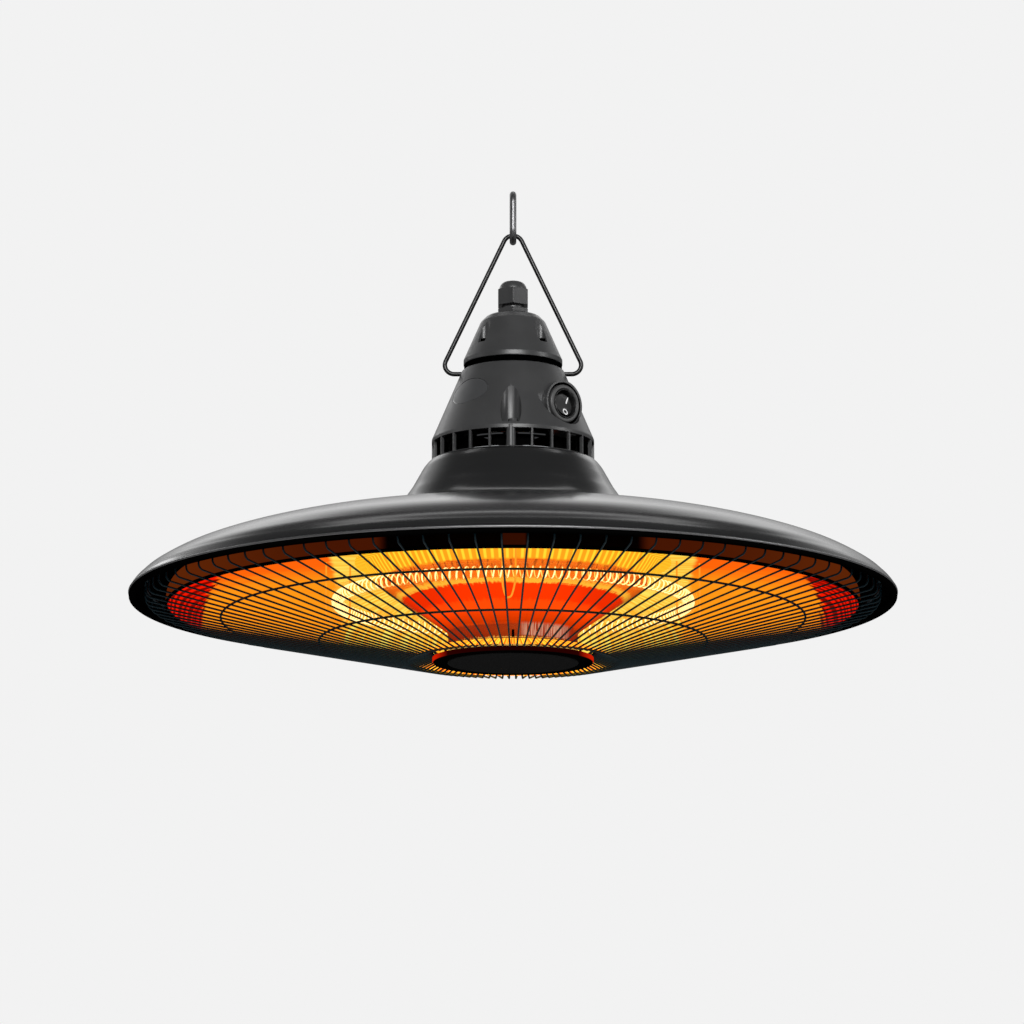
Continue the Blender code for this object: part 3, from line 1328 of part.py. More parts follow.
def main():
    for old in list(bpy.data.objects):
        bpy.data.objects.remove(old)
    frame = empty("heater_frame", None, Matrix.Translation((0, 0, -HANG_HEIGHT)))
    bail_hinge = empty("bail_hinge", frame, Matrix.Translation((0, 0, BAIL_FEET_HEIGHT)))
    switch = switch_frame()
    pivot = switch @ Matrix.Translation((0, 0, -ROCKER_PIVOT_DEPTH)) @ Matrix.Rotation(-ROCKER_REST_TILT, 4, "X")
    rocker_axis = empty("rocker_axis", frame, pivot)
    make_link(frame)
    make_bail(bail_hinge)
    make_lower_housing(frame, switch)
    make_badge("badge_plate", frame, 0.0, BADGE_THICKNESS, 0.0)
    make_upper_cap(frame)
    make_screws(frame)
    make_gland(frame)
    make_switch(frame, switch, rocker_axis)
    make_neck_parts(frame)
    make_shade(frame)
    make_reflectors(frame)
    make_pan_hangers(frame)
    make_tube(frame)
    make_coil(frame)
    make_holders(frame)
    make_tube_clips(frame)
    make_leads(frame)
    make_grille(frame)
    make_support_rings(frame)
    make_hub(frame)
    make_grille_clips(frame)
    report = {
        "hanging point above lip": HANG_HEIGHT,
        "bail feet": BAIL_FEET_HEIGHT - HANG_HEIGHT,
        "link bottom wire": LINK_BASE + LINK_WIRE - HANG_HEIGHT,
        "hub plate": HUB_CAP_BASE - HUB_PLATE_RISE - HANG_HEIGHT,
    }
    for name, value in report.items():
        print(f"{name}: {value:.5f} m")
    bpy.context.view_layer.update()
    place = rocker_axis.matrix_world.translation
    along = rocker_axis.matrix_world.to_3x3().col[0]
    print("rocker axis at", [round(value, 6) for value in place], "along", [round(value, 6) for value in along])
    print(f"rocker rest tilt {degrees(ROCKER_REST_TILT):.1f} degrees")


main()
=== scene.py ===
"""Hanging quartz ring heater: spun shade, radial wire guard, glowing ring, vented housing and wire bail."""

import bpy
import numpy as np
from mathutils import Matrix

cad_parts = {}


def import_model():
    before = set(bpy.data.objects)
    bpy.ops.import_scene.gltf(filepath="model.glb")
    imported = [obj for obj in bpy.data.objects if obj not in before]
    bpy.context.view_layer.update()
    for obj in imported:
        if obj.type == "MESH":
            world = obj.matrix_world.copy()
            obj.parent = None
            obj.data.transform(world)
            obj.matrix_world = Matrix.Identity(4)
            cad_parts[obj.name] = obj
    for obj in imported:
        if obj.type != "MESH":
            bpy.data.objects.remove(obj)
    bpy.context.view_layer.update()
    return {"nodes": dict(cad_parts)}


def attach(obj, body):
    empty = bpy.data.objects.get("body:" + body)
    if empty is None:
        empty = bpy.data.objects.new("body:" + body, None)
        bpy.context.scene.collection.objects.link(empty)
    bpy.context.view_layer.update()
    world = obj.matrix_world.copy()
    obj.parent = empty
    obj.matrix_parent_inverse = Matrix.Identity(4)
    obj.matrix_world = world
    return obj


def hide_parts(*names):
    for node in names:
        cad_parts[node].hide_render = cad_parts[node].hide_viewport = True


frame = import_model()

# Lengths are millimetres and heights are above the shade's lip. The object's origin is its hanging point.
HANG = 315.66
HOUSING_TURN = np.radians(-1.6)
CAP_TURN = np.radians(-0.9)
TAU = 2 * np.pi
STAY = np.eye(4)


# Places and turns


def around(count, start=0.0):
    """Even azimuths over a full turn."""
    return start + TAU * np.arange(count) / count


def polar(radius, azimuth, height, along=0.0):
    """(r sin a + t cos a, -r cos a + t sin a, z): a is measured from the front and t along the tangent."""
    s, c = np.sin(azimuth), np.cos(azimuth)
    return np.stack(np.broadcast_arrays(radius * s + along * c, -radius * c + along * s, height), -1)


def rotation(axis, angle):
    """A turn about X, Y or Z as a 4 by 4 array."""
    c, s = np.cos(angle), np.sin(angle)
    a, b = {"X": (1, 2), "Y": (2, 0), "Z": (0, 1)}[axis]
    made = np.eye(4)
    made[a, a] = made[b, b] = c
    made[a, b], made[b, a] = -s, s
    return made


def shift(x, y, z):
    """A move as a 4 by 4 array."""
    made = np.eye(4)
    made[:3, 3] = x, y, z
    return made


def moved(points, matrix):
    """The points turned and shifted by a 4 by 4 array."""
    return points @ matrix[:3, :3].T + matrix[:3, 3]


# Profiles and paths


def rounded(corners, radii, steps=5, closed=True):
    """A polygon whose corners are replaced by arcs, tangent to both sides, of the given radii."""
    corners = np.asarray(corners, float)
    radii = np.broadcast_to(radii, len(corners)).astype(float)
    path = []
    for k, here in enumerate(corners):
        if radii[k] == 0 or (not closed and k in (0, len(corners) - 1)):
            path.append(here[None])
            continue
        back, ahead = corners[k - 1] - here, corners[(k + 1) % len(corners)] - here
        lengths = np.linalg.norm(back), np.linalg.norm(ahead)
        back, ahead = back / lengths[0], ahead / lengths[1]
        half = np.arccos(np.clip(back @ ahead, -1, 1)) / 2
        reach = min(radii[k] / np.tan(half), 0.49 * min(lengths))
        radius = reach * np.tan(half)
        middle = (back + ahead) / np.linalg.norm(back + ahead)
        centre = here + middle * radius / np.sin(half)
        start, end = here + back * reach - centre, here + ahead * reach - centre
        sweep = np.pi - 2 * half
        share = np.linspace(0, 1, steps + 1)[:, None]
        arc = start * np.sin((1 - share) * sweep) + end * np.sin(share * sweep)
        path.append(centre + arc / np.sin(sweep))
    return np.concatenate(path)


def smooth(points, count):
    """A Catmull-Rom curve through the points, read at evenly spaced parameters."""
    points = np.asarray(points, float)
    route = np.concatenate([2 * points[:1] - points[1:2], points, 2 * points[-1:] - points[-2:-1]])
    at = np.linspace(0, len(points) - 1, count)
    k = np.minimum(at.astype(int), len(points) - 2)
    t = (at - k)[:, None]
    a, b, c, d = (route[k + n] for n in range(4))
    return 0.5 * (2 * b + (c - a) * t + (2 * a - 5 * b + 4 * c - d) * t**2 + (3 * b - a - 3 * c + d) * t**3)


def sideways(profile, distance):
    """The profile moved to its right by a distance, along the normal of each of its points."""
    tangent = np.gradient(profile, axis=0)
    tangent /= np.linalg.norm(tangent, axis=1)[:, None]
    return profile + distance * np.stack([tangent[:, 1], -tangent[:, 0]], -1)


def dense(profile, step=4.0, near=0.4):
    """The profile with more points: close to both ends of each long side, and at even steps between them."""
    profile = np.asarray(profile, float)
    path = []
    for here, after in zip(profile, profile[1:]):
        length = np.linalg.norm(after - here)
        share = np.zeros(1)
        if length > 4 * near:
            count = int(length / step) + 1
            share = np.concatenate([[0, near / length], np.arange(1, count) / count, [1 - near / length]])
        path.append(here + (after - here) * share[:, None])
    return np.concatenate(path + [profile[-1:]])


def dense_solid(profile):
    """A solid's profile made dense between its two ends on the axis."""
    return np.concatenate([profile[:1], dense(profile[1:-1]), profile[-1:]])


# Meshes


def sheet_faces(rows, cols, close_rows=False, sheets=1):
    """Quads between neighbouring points of a grid whose rows are closed, for one grid after another."""
    a, b = np.meshgrid(np.arange(rows if close_rows else rows - 1), np.arange(cols), indexing="ij")
    c, d = (a + 1) % rows, (b + 1) % cols
    quads = np.stack([a * cols + b, a * cols + d, c * cols + d, c * cols + b], -1).reshape(-1, 4)
    return (quads + np.arange(sheets)[:, None, None] * rows * cols).reshape(-1, 4)


def end_faces(rows, cols, sheets=1):
    """The first and the last row of each grid, as one flat face each."""
    first = np.arange(sheets)[:, None] * rows * cols + np.arange(cols)
    return np.concatenate([first[:, ::-1], first + (rows - 1) * cols])


def volume(points, groups):
    """Six times the volume that the faces close, from a fan in each; negative where they point inwards."""
    total = 0.0
    for group in groups:
        corners = points[group]
        for k in range(1, corners.shape[1] - 1):
            total += np.einsum("ij,ij", corners[:, 0], np.cross(corners[:, k], corners[:, k + 1]))
    return total


def add_object(name, data):
    """A new object in the scene, for a mesh, a light or a camera."""
    made = bpy.data.objects.new(name, data)
    bpy.context.scene.collection.objects.link(made)
    return made


def mesh_object(name, points, groups, finish=None, sharp=30):
    """An object at the origin from points in millimetres and arrays of faces, turned to point outwards."""
    points = (points.reshape(-1, 3) - [0, 0, HANG]) / 1000
    if volume(points, groups) < 0:
        groups = [group[:, ::-1] for group in groups]
    mesh = bpy.data.meshes.new(name)
    mesh.from_pydata(points.tolist(), [], [face for group in groups for face in group.tolist()])
    mesh.shade_smooth()
    mesh.set_sharp_from_angle(angle=np.radians(sharp))
    if finish:
        mesh.materials.append(finish)
    return add_object(name, mesh)


def place(made, body, nodes):
    """Puts a finished piece on its body, in the place of its CAD nodes."""
    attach(made, body)
    if nodes:
        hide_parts(*nodes)


def turned(name, profile, finish, segments=192, start=0.0, matrix=STAY, sharp=30):
    """A closed profile of radius and height carried round Z: a ring of quads, closed both ways."""
    r, z = np.asarray(profile, float).T[..., None]
    points = moved(polar(r, around(segments, start), z), matrix)
    return mesh_object(name, points, [sheet_faces(len(r), segments, close_rows=True)], finish, sharp)


def turned_solid(name, profile, finish=None, segments=192, start=0.0, matrix=STAY):
    """A profile that starts and ends on the axis, carried round Z and closed by a flat face at each end."""
    r, z = np.asarray(profile, float)[1:-1].T[..., None]
    points = moved(polar(r, around(segments, start), z), matrix)
    return mesh_object(name, points, [sheet_faces(len(r), segments), end_faces(len(r), segments)], finish)


def bar(name, radius, low, high, segments, start=0.0, matrix=STAY):
    """A straight bar with flat ends on Z, or on the axis of a matrix."""
    profile = [(0, low), (radius, low), (radius, high), (0, high)]
    return turned_solid(name, profile, None, segments, start, matrix)


def tube_points(path, radius, side, sides=12):
    """Circles round each point of a path, in the plane of its side vector and the normal of both."""
    tangent = np.gradient(path, axis=-2)
    tangent /= np.linalg.norm(tangent, axis=-1)[..., None]
    side = np.broadcast_to(side, path.shape)
    u = side - (side * tangent).sum(-1)[..., None] * tangent
    u /= np.linalg.norm(u, axis=-1)[..., None]
    v = np.cross(tangent, u)
    turn = around(sides)[:, None]
    circle = np.cos(turn) * u[..., None, :] + np.sin(turn) * v[..., None, :]
    return path[..., None, :] + np.asarray(radius, float)[..., None, None] * circle


def wire(name, path, radius, side, finish, sides=12, closed=False):
    """A round wire along a path: circles about its points, closed on themselves or with flat ends."""
    rows = len(path)
    if closed:
        points = tube_points(np.concatenate([path[-1:], path, path[:1]]), radius, side, sides)[1:-1]
        faces = [sheet_faces(rows, sides, close_rows=True)]
    else:
        points = tube_points(path, radius, side, sides)
        faces = [sheet_faces(rows, sides), end_faces(rows, sides)]
    return mesh_object(name, points, faces, finish, 40)


def posts(name, radius, low, high, centre, angles, segments=48):
    """Upright round bars as one object: circles about points on a larger circle, at two heights."""
    ring = polar(radius, TAU * (np.arange(segments) + 0.5) / segments, 0.0)
    ends = np.stack([ring + [0, 0, low], ring + [0, 0, high]])
    points = polar(centre, angles, 0.0)[:, None, None] + ends
    count = len(angles)
    return mesh_object(name, points, [sheet_faces(2, segments, sheets=count), end_faces(2, segments, count)])


def sector_boxes(name, low, high, starts, ends, bottom, top, steps=8, finish=None):
    """Curved boxes between two radii, two heights and pairs of azimuths, as one object."""
    angle = starts[:, None] + (ends - starts)[:, None] * np.linspace(0, 1, steps + 1)
    corners = (low, bottom), (high, bottom), (high, top), (low, top)
    points = np.stack([polar(r, angle, z) for r, z in corners], 2)
    rows, count = steps + 1, len(starts)
    return mesh_object(name, points, [sheet_faces(rows, 4, sheets=count), end_faces(rows, 4, count)], finish)


CUT, ADD, COMMON = "DIFFERENCE", "UNION", "INTERSECT"


def carve(solid, *steps):
    """Boolean steps (operation, cutter) worked out and kept in the solid's own mesh; the cutters go."""
    for operation, cutter in steps:
        step = solid.modifiers.new(operation, "BOOLEAN")
        step.operation = operation
        step.object = cutter
    graph = bpy.context.evaluated_depsgraph_get()
    made = bpy.data.meshes.new_from_object(solid.evaluated_get(graph))
    solid.modifiers.clear()
    solid.data = made
    made.shade_smooth()
    made.set_sharp_from_angle(angle=np.radians(30))
    for _, cutter in steps:
        bpy.data.objects.remove(cutter)
    return solid


def zones(made, rows, *changes):
    """Gives a turned sheet another material from each starting row of its profile on."""
    row = np.arange(len(made.data.polygons)) // (len(made.data.polygons) // rows)
    index = np.zeros(len(row), np.int32)
    for start, finish in changes:
        made.data.materials.append(finish)
        index += row >= start
    made.data.polygons.foreach_set("material_index", index)


# Finishes


class Value:
    """A shader socket that holds a number, so that maths on it reads as an expression."""

    def __init__(self, finish, socket):
        self.finish = finish
        self.socket = socket

    def apply(self, operation, *others):
        """A Math node on this number and others."""
        return self.finish.number("ShaderNodeMath", {"operation": operation}, self, *others)

    def __add__(self, other):
        return self.apply("ADD", other)

    def __mul__(self, other):
        return self.apply("MULTIPLY", other)

    def __sub__(self, other):
        return self.apply("SUBTRACT", other)

    def __truediv__(self, other):
        return self.apply("DIVIDE", other)

    def __rsub__(self, other):
        return self * -1 + other

    __radd__ = __add__
    __rmul__ = __mul__

    def step(self, low, high):
        """0 below low, 1 above high, and smooth between them."""
        settings = {"interpolation_type": "SMOOTHSTEP"}
        return self.finish.number("ShaderNodeMapRange", settings, self, low, high, 0.0, 1.0)

    def window(self, rise, fall):
        """1 between two smooth steps, each given by where it starts and ends, and 0 outside them."""
        return self.step(*rise) * (1 - self.step(*fall))


class Finish:
    """A material that is built up from nodes on a Principled shader."""

    def __init__(self, name, **sockets):
        self.material = bpy.data.materials.new(name)
        self.material.use_nodes = True
        self.tree = self.material.node_tree
        self.shader = self.tree.nodes["Principled BSDF"]
        self.set(**sockets)

    def set(self, **sockets):
        """Values or links for the shader's sockets, named with underscores."""
        for name, value in sockets.items():
            self.feed(self.shader.inputs[name.replace("_", " ").title().replace("Ior", "IOR")], value)
        return self

    def feed(self, socket, value):
        """A link, a colour or a number for one socket."""
        if isinstance(value, Value):
            value = value.socket
        if isinstance(value, bpy.types.NodeSocket):
            self.tree.links.new(value, socket)
        elif isinstance(value, tuple) and len(value) == 3 and socket.type == "RGBA":
            socket.default_value = (*value, 1.0)
        else:
            socket.default_value = value

    def node(self, kind, settings, *values, **named):
        """A node of a kind, with its settings first and then its sockets, in order or by name."""
        made = self.tree.nodes.new(kind)
        for name, value in settings.items():
            setattr(made, name, value)
        shown = [socket for socket in made.inputs if socket.enabled]
        for socket, value in zip(shown, values):
            self.feed(socket, value)
        for name, value in named.items():
            self.feed(made.inputs[name], value)
        return made

    def number(self, kind, settings, *values, **named):
        """The first output of a node, as a number."""
        return Value(self, self.node(kind, settings, *values, **named).outputs[0])

    def where(self):
        """Object coordinates, in metres."""
        return self.node("ShaderNodeTexCoord", {}).outputs["Object"]

    def stretched(self, scale):
        """Object coordinates, scaled along each axis."""
        return self.node("ShaderNodeMapping", {}, Vector=self.where(), Scale=scale).outputs[0]

    def axis(self, letter):
        """One object coordinate in millimetres."""
        return Value(self, self.node("ShaderNodeSeparateXYZ", {}, self.where()).outputs[letter]) * 1000

    def height(self):
        """Millimetres above the lip."""
        return self.axis("Z") + HANG

    def radius(self):
        """Distance from the heater's axis, in millimetres."""
        made = self.node("ShaderNodeVectorMath", {"operation": "LENGTH"}, self.stretched((1, 1, 0)))
        return Value(self, made.outputs["Value"]) * 1000

    def azimuth(self):
        """The angle round the heater's axis, in radians from the front."""
        return self.axis("X").apply("ARCTAN2", self.axis("Y") * -1)

    def facing(self, blend):
        """0 where the surface faces the viewer and 1 at its edge."""
        return Value(self, self.node("ShaderNodeLayerWeight", {}, Blend=blend).outputs["Facing"])

    def noise(self, scale, detail=2, stretch=(1, 1, 1)):
        """Noise over the object coordinates."""
        where = self.stretched(stretch)
        return self.number("ShaderNodeTexNoise", {}, Vector=where, Scale=scale, Detail=detail)

    def pattern(self, detail, x, y, z):
        """Noise over coordinates of the surface's own, such as its azimuth and height."""
        where = self.node("ShaderNodeCombineXYZ", {}, x, y, z).outputs[0]
        return self.number("ShaderNodeTexNoise", {}, Vector=where, Scale=1.0, Detail=detail)

    def blend(self, factor, first, second):
        """A colour mix."""
        made = self.node("ShaderNodeMix", {"data_type": "RGBA"})
        self.feed(made.inputs[0], factor)
        self.feed(made.inputs[6], first)
        self.feed(made.inputs[7], second)
        return made.outputs[2]

    def ramp(self, value, stops):
        """Colours at places along a number."""
        made = self.node("ShaderNodeValToRGB", {}, value)
        strip = made.color_ramp
        for _ in stops[2:]:
            strip.elements.new(0.5)
        for element, (where, colour) in zip(strip.elements, stops):
            element.position = where
            element.color = (*colour, 1.0)
        return made.outputs[0]

    def edges(self, radius):
        """A normal that rounds the edges of a carved solid."""
        return self.node("ShaderNodeBevel", {"samples": 4}, radius).outputs[0]

    def bump(self, height, distance, strength, normal=None):
        """Raises the surface by a pattern, in metres, on top of another normal where one is given."""
        named = {"Height": height, "Distance": distance, "Strength": strength}
        if normal:
            named["Normal"] = normal
        return self.set(normal=self.node("ShaderNodeBump", {}, **named).outputs[0])


DARK = (0.0, 0.0, 0.0)
DEGREES = 57.296


def grained(name, noise, first, second, rough, spread=0.0, bump=None, bevel=None, steps=None, **sockets):
    """A finish from one noise, which is given by its scale, detail and stretch.

    The noise mixes two colours, sharpened by steps, spreads the roughness, and raises the surface by the
    distance and strength of the bump. A bevel rounds the edges.
    """
    finish = Finish(name, **sockets)
    grain = finish.noise(*noise)
    mask = grain.step(*steps) if steps else grain
    finish.set(
        base_color=finish.blend(mask, first, second) if second else first,
        roughness=rough + spread * grain if spread else rough,
    )
    if bump:
        finish.bump(grain, *bump, finish.edges(bevel) if bevel else None)
    return finish.material


def grey(tone):
    """A colour without a hue."""
    return (tone, tone, tone)


def plated_steel(name, tone, rough):
    """Zinc-plated steel, drawn lengthwise."""
    low, high = (tone * 0.85, tone * 0.85, tone * 0.86), (tone * 1.1, tone * 1.1, tone * 1.12)
    return grained(name, (240, 3, (6, 6, 0.5)), low, high, rough, 0.12, (0.00001, 0.1), metallic=1.0)


def rubber(name, tone, rough):
    """Rubber or a soft plastic with slightly rounded edges."""
    return grained(name, (1800, 3), grey(tone * 0.8), grey(tone * 1.3), rough, 0.12, (0.00004, 0.4), 0.0003)


def matt_black(name, tone, rough):
    """Flat black without sheen: black paint on the hub's plate, and painted shade in hems, gaps and inner
    parts.
    """
    low, high = grey(tone * 0.8), grey(tone * 1.2)
    return grained(name, (1300, 3), low, high, rough, 0.1, (0.00003, 0.4), specular_ior_level=0.0)


def moulded_plastic():
    """Dark grey plastic with a fine spark-eroded grain."""
    finish = Finish("moulded_plastic", specular_ior_level=0.5)
    grain = finish.noise(2600, 3)
    cloud = finish.noise(45).step(0.35, 0.65)
    finish.set(
        base_color=finish.blend(cloud, (0.041, 0.0412, 0.042), (0.047, 0.0472, 0.048)),
        roughness=0.30 + 0.10 * grain,
    )
    return finish.bump(grain, 0.00006, 0.5, finish.edges(0.0004)).material


def satin_enamel():
    """The shade's powder coat: black, satin, with a slight orange peel."""
    finish = Finish("satin_enamel", specular_ior_level=0.55)
    peel = finish.noise(900)
    cloud = finish.noise(14, 3)
    finish.set(
        base_color=finish.blend(cloud.step(0.3, 0.7), (0.0100, 0.0102, 0.0105), (0.0125, 0.0127, 0.013)),
        roughness=0.18 + 0.03 * peel + 0.03 * cloud,
    )
    return finish.bump(peel, 0.00001, 0.2).material


def hub_glow():
    """The polished hub cone with a painted reflection of the glowing ring, in bands by height over the lip.
    """
    finish = Finish("hub_glow", metallic=1.0, emission_strength=1.0)
    height, angle = finish.height(), finish.azimuth()
    pleat = (angle * 120).apply("SINE") * 0.5 + 0.5
    dash = finish.pattern(1, angle * 40, height * 0.12, 2.0)
    streak = finish.pattern(3, angle * 26, height * 0.02, 0.0)
    fleck = finish.pattern(4, angle * 60, height * 0.35, 7.0)
    scan = finish.pattern(1, angle * 3, height * 1.6, 1.0)
    rays = finish.pattern(1, angle * 110, height * 0.05, 9.0)
    bands = [
        (-46, (0.95, 0.62, 0.16)), (-37.6, (0.95, 0.50, 0.08)), (-36.4, (0.20, 0.016, 0.003)),
        (-27.5, (0.30, 0.024, 0.004)), (-25.5, (0.60, 0.035, 0.000)), (-19.0, (0.90, 0.050, 0.000)),
        (-17.2, (1.00, 0.070, 0.002)), (-13.0, (1.00, 0.060, 0.002)), (-11.0, (0.86, 0.025, 0.000)),
        (-2.6, (0.86, 0.025, 0.000)), (-1.4, (1.00, 0.50, 0.040)), (0.3, (1.00, 0.44, 0.030)),
        (1.6, (0.88, 0.14, 0.006)), (7.0, (0.88, 0.14, 0.006)), (8.2, (0.78, 0.10, 0.004)),
        (11.2, (0.85, 0.12, 0.005)), (12.8, (1.00, 0.36, 0.010)), (26, (1.00, 0.38, 0.010)),
    ]
    low = bands[0][0]
    span = bands[-1][0] - low
    level = (height - low + (streak - 0.5) * 4.0 + (fleck - 0.5) * 1.5 + (scan - 0.5) * 3.0) / span
    glow = finish.ramp(level, [((z - low) / span, colour) for z, colour in bands])
    # Pleats, dashes, blobs and pale rays are marks in the painted reflection; the edge is painted shade where
    # the lower cone turns away.
    pleats = pleat.step(0.45, 0.9) * height.step(11.5, 13.5) * 0.8
    dashes = dash.step(0.52, 0.62) * height.window((5.5, 7.5), (11.0, 12.5)) * 0.85
    blobs = fleck.step(0.50, 0.60) * (1 - height.step(-38.0, -36.5)) * 0.9
    pale = rays.step(0.42, 0.56) * angle.window((0.05, 0.25), (0.9, 1.1)) * 0.9
    pale = pale * height.window((-36.5, -35), (-28, -25))
    edge = finish.facing(0.5).step(0.72, 1.0) * (1 - height.step(4.0, 10.0)) * 0.8
    for mask, colour in (
        (pleats, (1.0, 0.80, 0.040)),
        (dashes, (0.28, 0.015, 0.001)),
        (blobs, (0.10, 0.010, 0.002)),
        (pale, (0.62, 0.34, 0.22)),
        (edge, (0.10, 0.006, 0.001)),
    ):
        glow = finish.blend(mask, glow, colour)
    finish.set(
        specular_tint=(0.16, 0.03, 0.004),
        base_color=(0.16, 0.035, 0.006),
        roughness=0.22 + 0.16 * fleck,
        emission_color=glow,
    )
    return finish.bump(streak + 0.4 * fleck, 0.0006, 0.25).material


def foot_glow():
    """A painted reflection of the glowing ring at the hub's foot, yellow in fine rays."""
    finish = Finish("foot_glow", metallic=1.0, emission_strength=1.8)
    rays = finish.pattern(1, finish.azimuth() * 45, 0.0, 4.0)
    finish.set(
        base_color=(0.16, 0.035, 0.006),
        specular_tint=(0.16, 0.03, 0.004),
        roughness=0.3 + 0.1 * rays,
        emission_color=finish.blend(rays.step(0.40, 0.60), (0.80, 0.10, 0.002), (1.0, 0.50, 0.030)),
    )
    return finish.material


def pan_glow():
    """The polished pan with a painted reflection of the glowing ring: yellow over the near ring, orange
    across the middle and dark red at its sides.
    """
    finish = Finish("pan_glow", metallic=1.0, emission_strength=1.0)
    radius, angle = finish.radius(), finish.azimuth()
    x, y = finish.axis("X").apply("ABSOLUTE"), finish.axis("Y")
    streak = finish.pattern(3, angle * 30, radius * 0.012, 0.0)
    mottle = finish.pattern(4, angle * 14, radius * 0.06, 5.0)
    comb = finish.pattern(2, angle * 70, radius * 0.01, 8.0).step(0.35, 0.65)
    along = (y + 150 + (streak - 0.5) * 40 + (mottle - 0.5) * 20) / 400
    stops = [
        (0.15, (1.00, 0.120, 0.003)), (0.42, (1.00, 0.130, 0.003)),
        (0.56, (1.00, 0.31, 0.008)), (1.0, (1.00, 0.33, 0.009)),
    ]
    inner = finish.blend(comb, (1.00, 0.46, 0.020), (1.00, 0.80, 0.120))
    warm = finish.blend((x - 138 + (mottle - 0.5) * 6).step(-2.5, 2.5), inner, finish.ramp(along, stops))
    blotched = finish.blend(mottle.step(0.5, 0.75) * 0.25, warm, (0.95, 0.12, 0.003))
    red = finish.blend(streak.step(0.44, 0.56) * 0.85, (0.90, 0.008, 0.0), (0.07, 0.001, 0.0))
    side = (x - 219.6 - y * 0.244 + (streak - 0.5) * 20).step(-2, 2)
    finish.set(
        base_color=(0.16, 0.035, 0.005),
        specular_tint=(0.16, 0.03, 0.004),
        roughness=0.24 + 0.12 * mottle,
        emission_color=finish.blend(side, blotched, red),
    )
    return finish.bump(streak + 0.5 * mottle, 0.0008, 0.25).material


def painted_red_glow():
    """The pan's outside: dark, with a painted red-brown glow, the light of the ring, towards the sides and on
    a narrow panel at the front.
    """
    finish = Finish("painted_red_glow", emission_strength=1.0, specular_ior_level=0.0)
    tint = finish.noise(18, 3)
    across = finish.axis("X")
    side = across.apply("ABSOLUTE") + (tint - 0.5) * 5
    narrow = across.window((-8.5, -6.5), (7.8, 9.8)) * 0.5
    hue = finish.blend(side.step(117, 247), (0.058, 0.0075, 0.001), (0.105, 0.017, 0.002))
    finish.set(
        base_color=finish.blend(tint.step(0.35, 0.65), (0.004, 0.0012, 0.0008), (0.007, 0.002, 0.001)),
        roughness=0.5 + 0.1 * tint,
        # The emission is painted light: the ring's glow, red-brown towards the sides and on the front panel.
        emission_color=finish.blend(side.step(86, 96) + narrow, DARK, hue),
    )
    return finish.bump(tint, 0.0002, 0.2).material


def quartz():
    """Clear quartz: nearly invisible face on, with painted light from the coil inside: orange at grazing
    angles and a faint orange glow.
    """
    finish = Finish("quartz", roughness=0.06, specular_ior_level=0.8)
    edge = finish.facing(0.35)
    haze = finish.noise(60, 3)
    finish.set(
        base_color=(1.0, 0.55, 0.16),
        alpha=0.015 + 0.02 * haze + 0.30 * edge * edge * edge * edge,
        emission_color=(1.0, 0.36, 0.02),
        emission_strength=0.35,
    )
    return finish.material


def glowing_coil(name, strength, cool, hot):
    """Glowing resistance wire, darker at its edges and patchy along its length."""
    finish = Finish(name, emission_strength=strength, roughness=0.5)
    heat = finish.blend(finish.noise(60, 1), cool, hot)
    glow = finish.blend(finish.facing(0.5).step(0.25, 0.75), heat, (0.42, 0.13, 0.008))
    return finish.set(base_color=(0.1, 0.04, 0.01), emission_color=glow).material


def hairpin_steel():
    """Steel wire with a painted orange glow where the ring next to it lights it."""
    finish = Finish("hairpin_steel", metallic=1.0, emission_strength=1.0)
    tone = finish.noise(300)
    finish.set(
        base_color=(0.3, 0.1, 0.03),
        specular_tint=(0.2, 0.05, 0.01),
        roughness=0.3 + 0.1 * tone,
        emission_color=finish.blend(tone, (0.75, 0.22, 0.01), (0.95, 0.40, 0.03)),
    )
    return finish.material


def can_black():
    """Black paint on the hub's can; towards both sides its wall has a painted red reflection of the
    reflector.
    """
    finish = Finish("can_black", emission_strength=1.0, specular_ior_level=0.0)
    grain = finish.noise(1300, 3)
    side = finish.axis("X").apply("ABSOLUTE") / 61
    red = finish.ramp(side, [(0.0, (0.012, 0.0, 0.0)), (0.80, (0.020, 0.0, 0.0)), (0.96, (0.60, 0.012, 0.0))])
    finish.set(
        base_color=finish.blend(grain, grey(0.0012), grey(0.002)),
        roughness=0.45 + 0.1 * grain,
        emission_color=finish.blend(finish.radius().step(60.2, 60.6), DARK, red),
    )
    return finish.material


def baffle_black():
    """The baffle behind the vents: black, with thin lines of daylight that come through from the far side."""
    finish = Finish("baffle_black", emission_strength=1.0, specular_ior_level=0.0)
    grain = finish.noise(900)
    turn = finish.azimuth() * DEGREES
    sides = turn.window((-35.6, -34.4), (-9.9, -8.7)) + turn.window((3.9, 5.1), (30.4, 31.6))
    lines = finish.height().window((117.4, 117.8), (118.4, 118.8)) * sides
    finish.set(
        base_color=finish.blend(grain, grey(0.001), grey(0.002)),
        roughness=0.6 + 0.1 * grain,
        emission_color=finish.blend(lines, DARK, (0.040, 0.041, 0.043)),
    )
    return finish.material


def sill_light():
    """An edge, dark in itself, with painted daylight on two stretches at the front."""
    finish = Finish("sill_edge", emission_strength=1.0, specular_ior_level=0.0, roughness=0.7)
    turn = finish.azimuth() * DEGREES
    lit = turn.window((-31, -29), (-11.1, -9.9)) + turn.window((6.8, 8.0), (25, 29))
    light = finish.blend(lit, DARK, (0.62, 0.64, 0.66))
    return finish.set(base_color=grey(0.002), emission_color=light).material


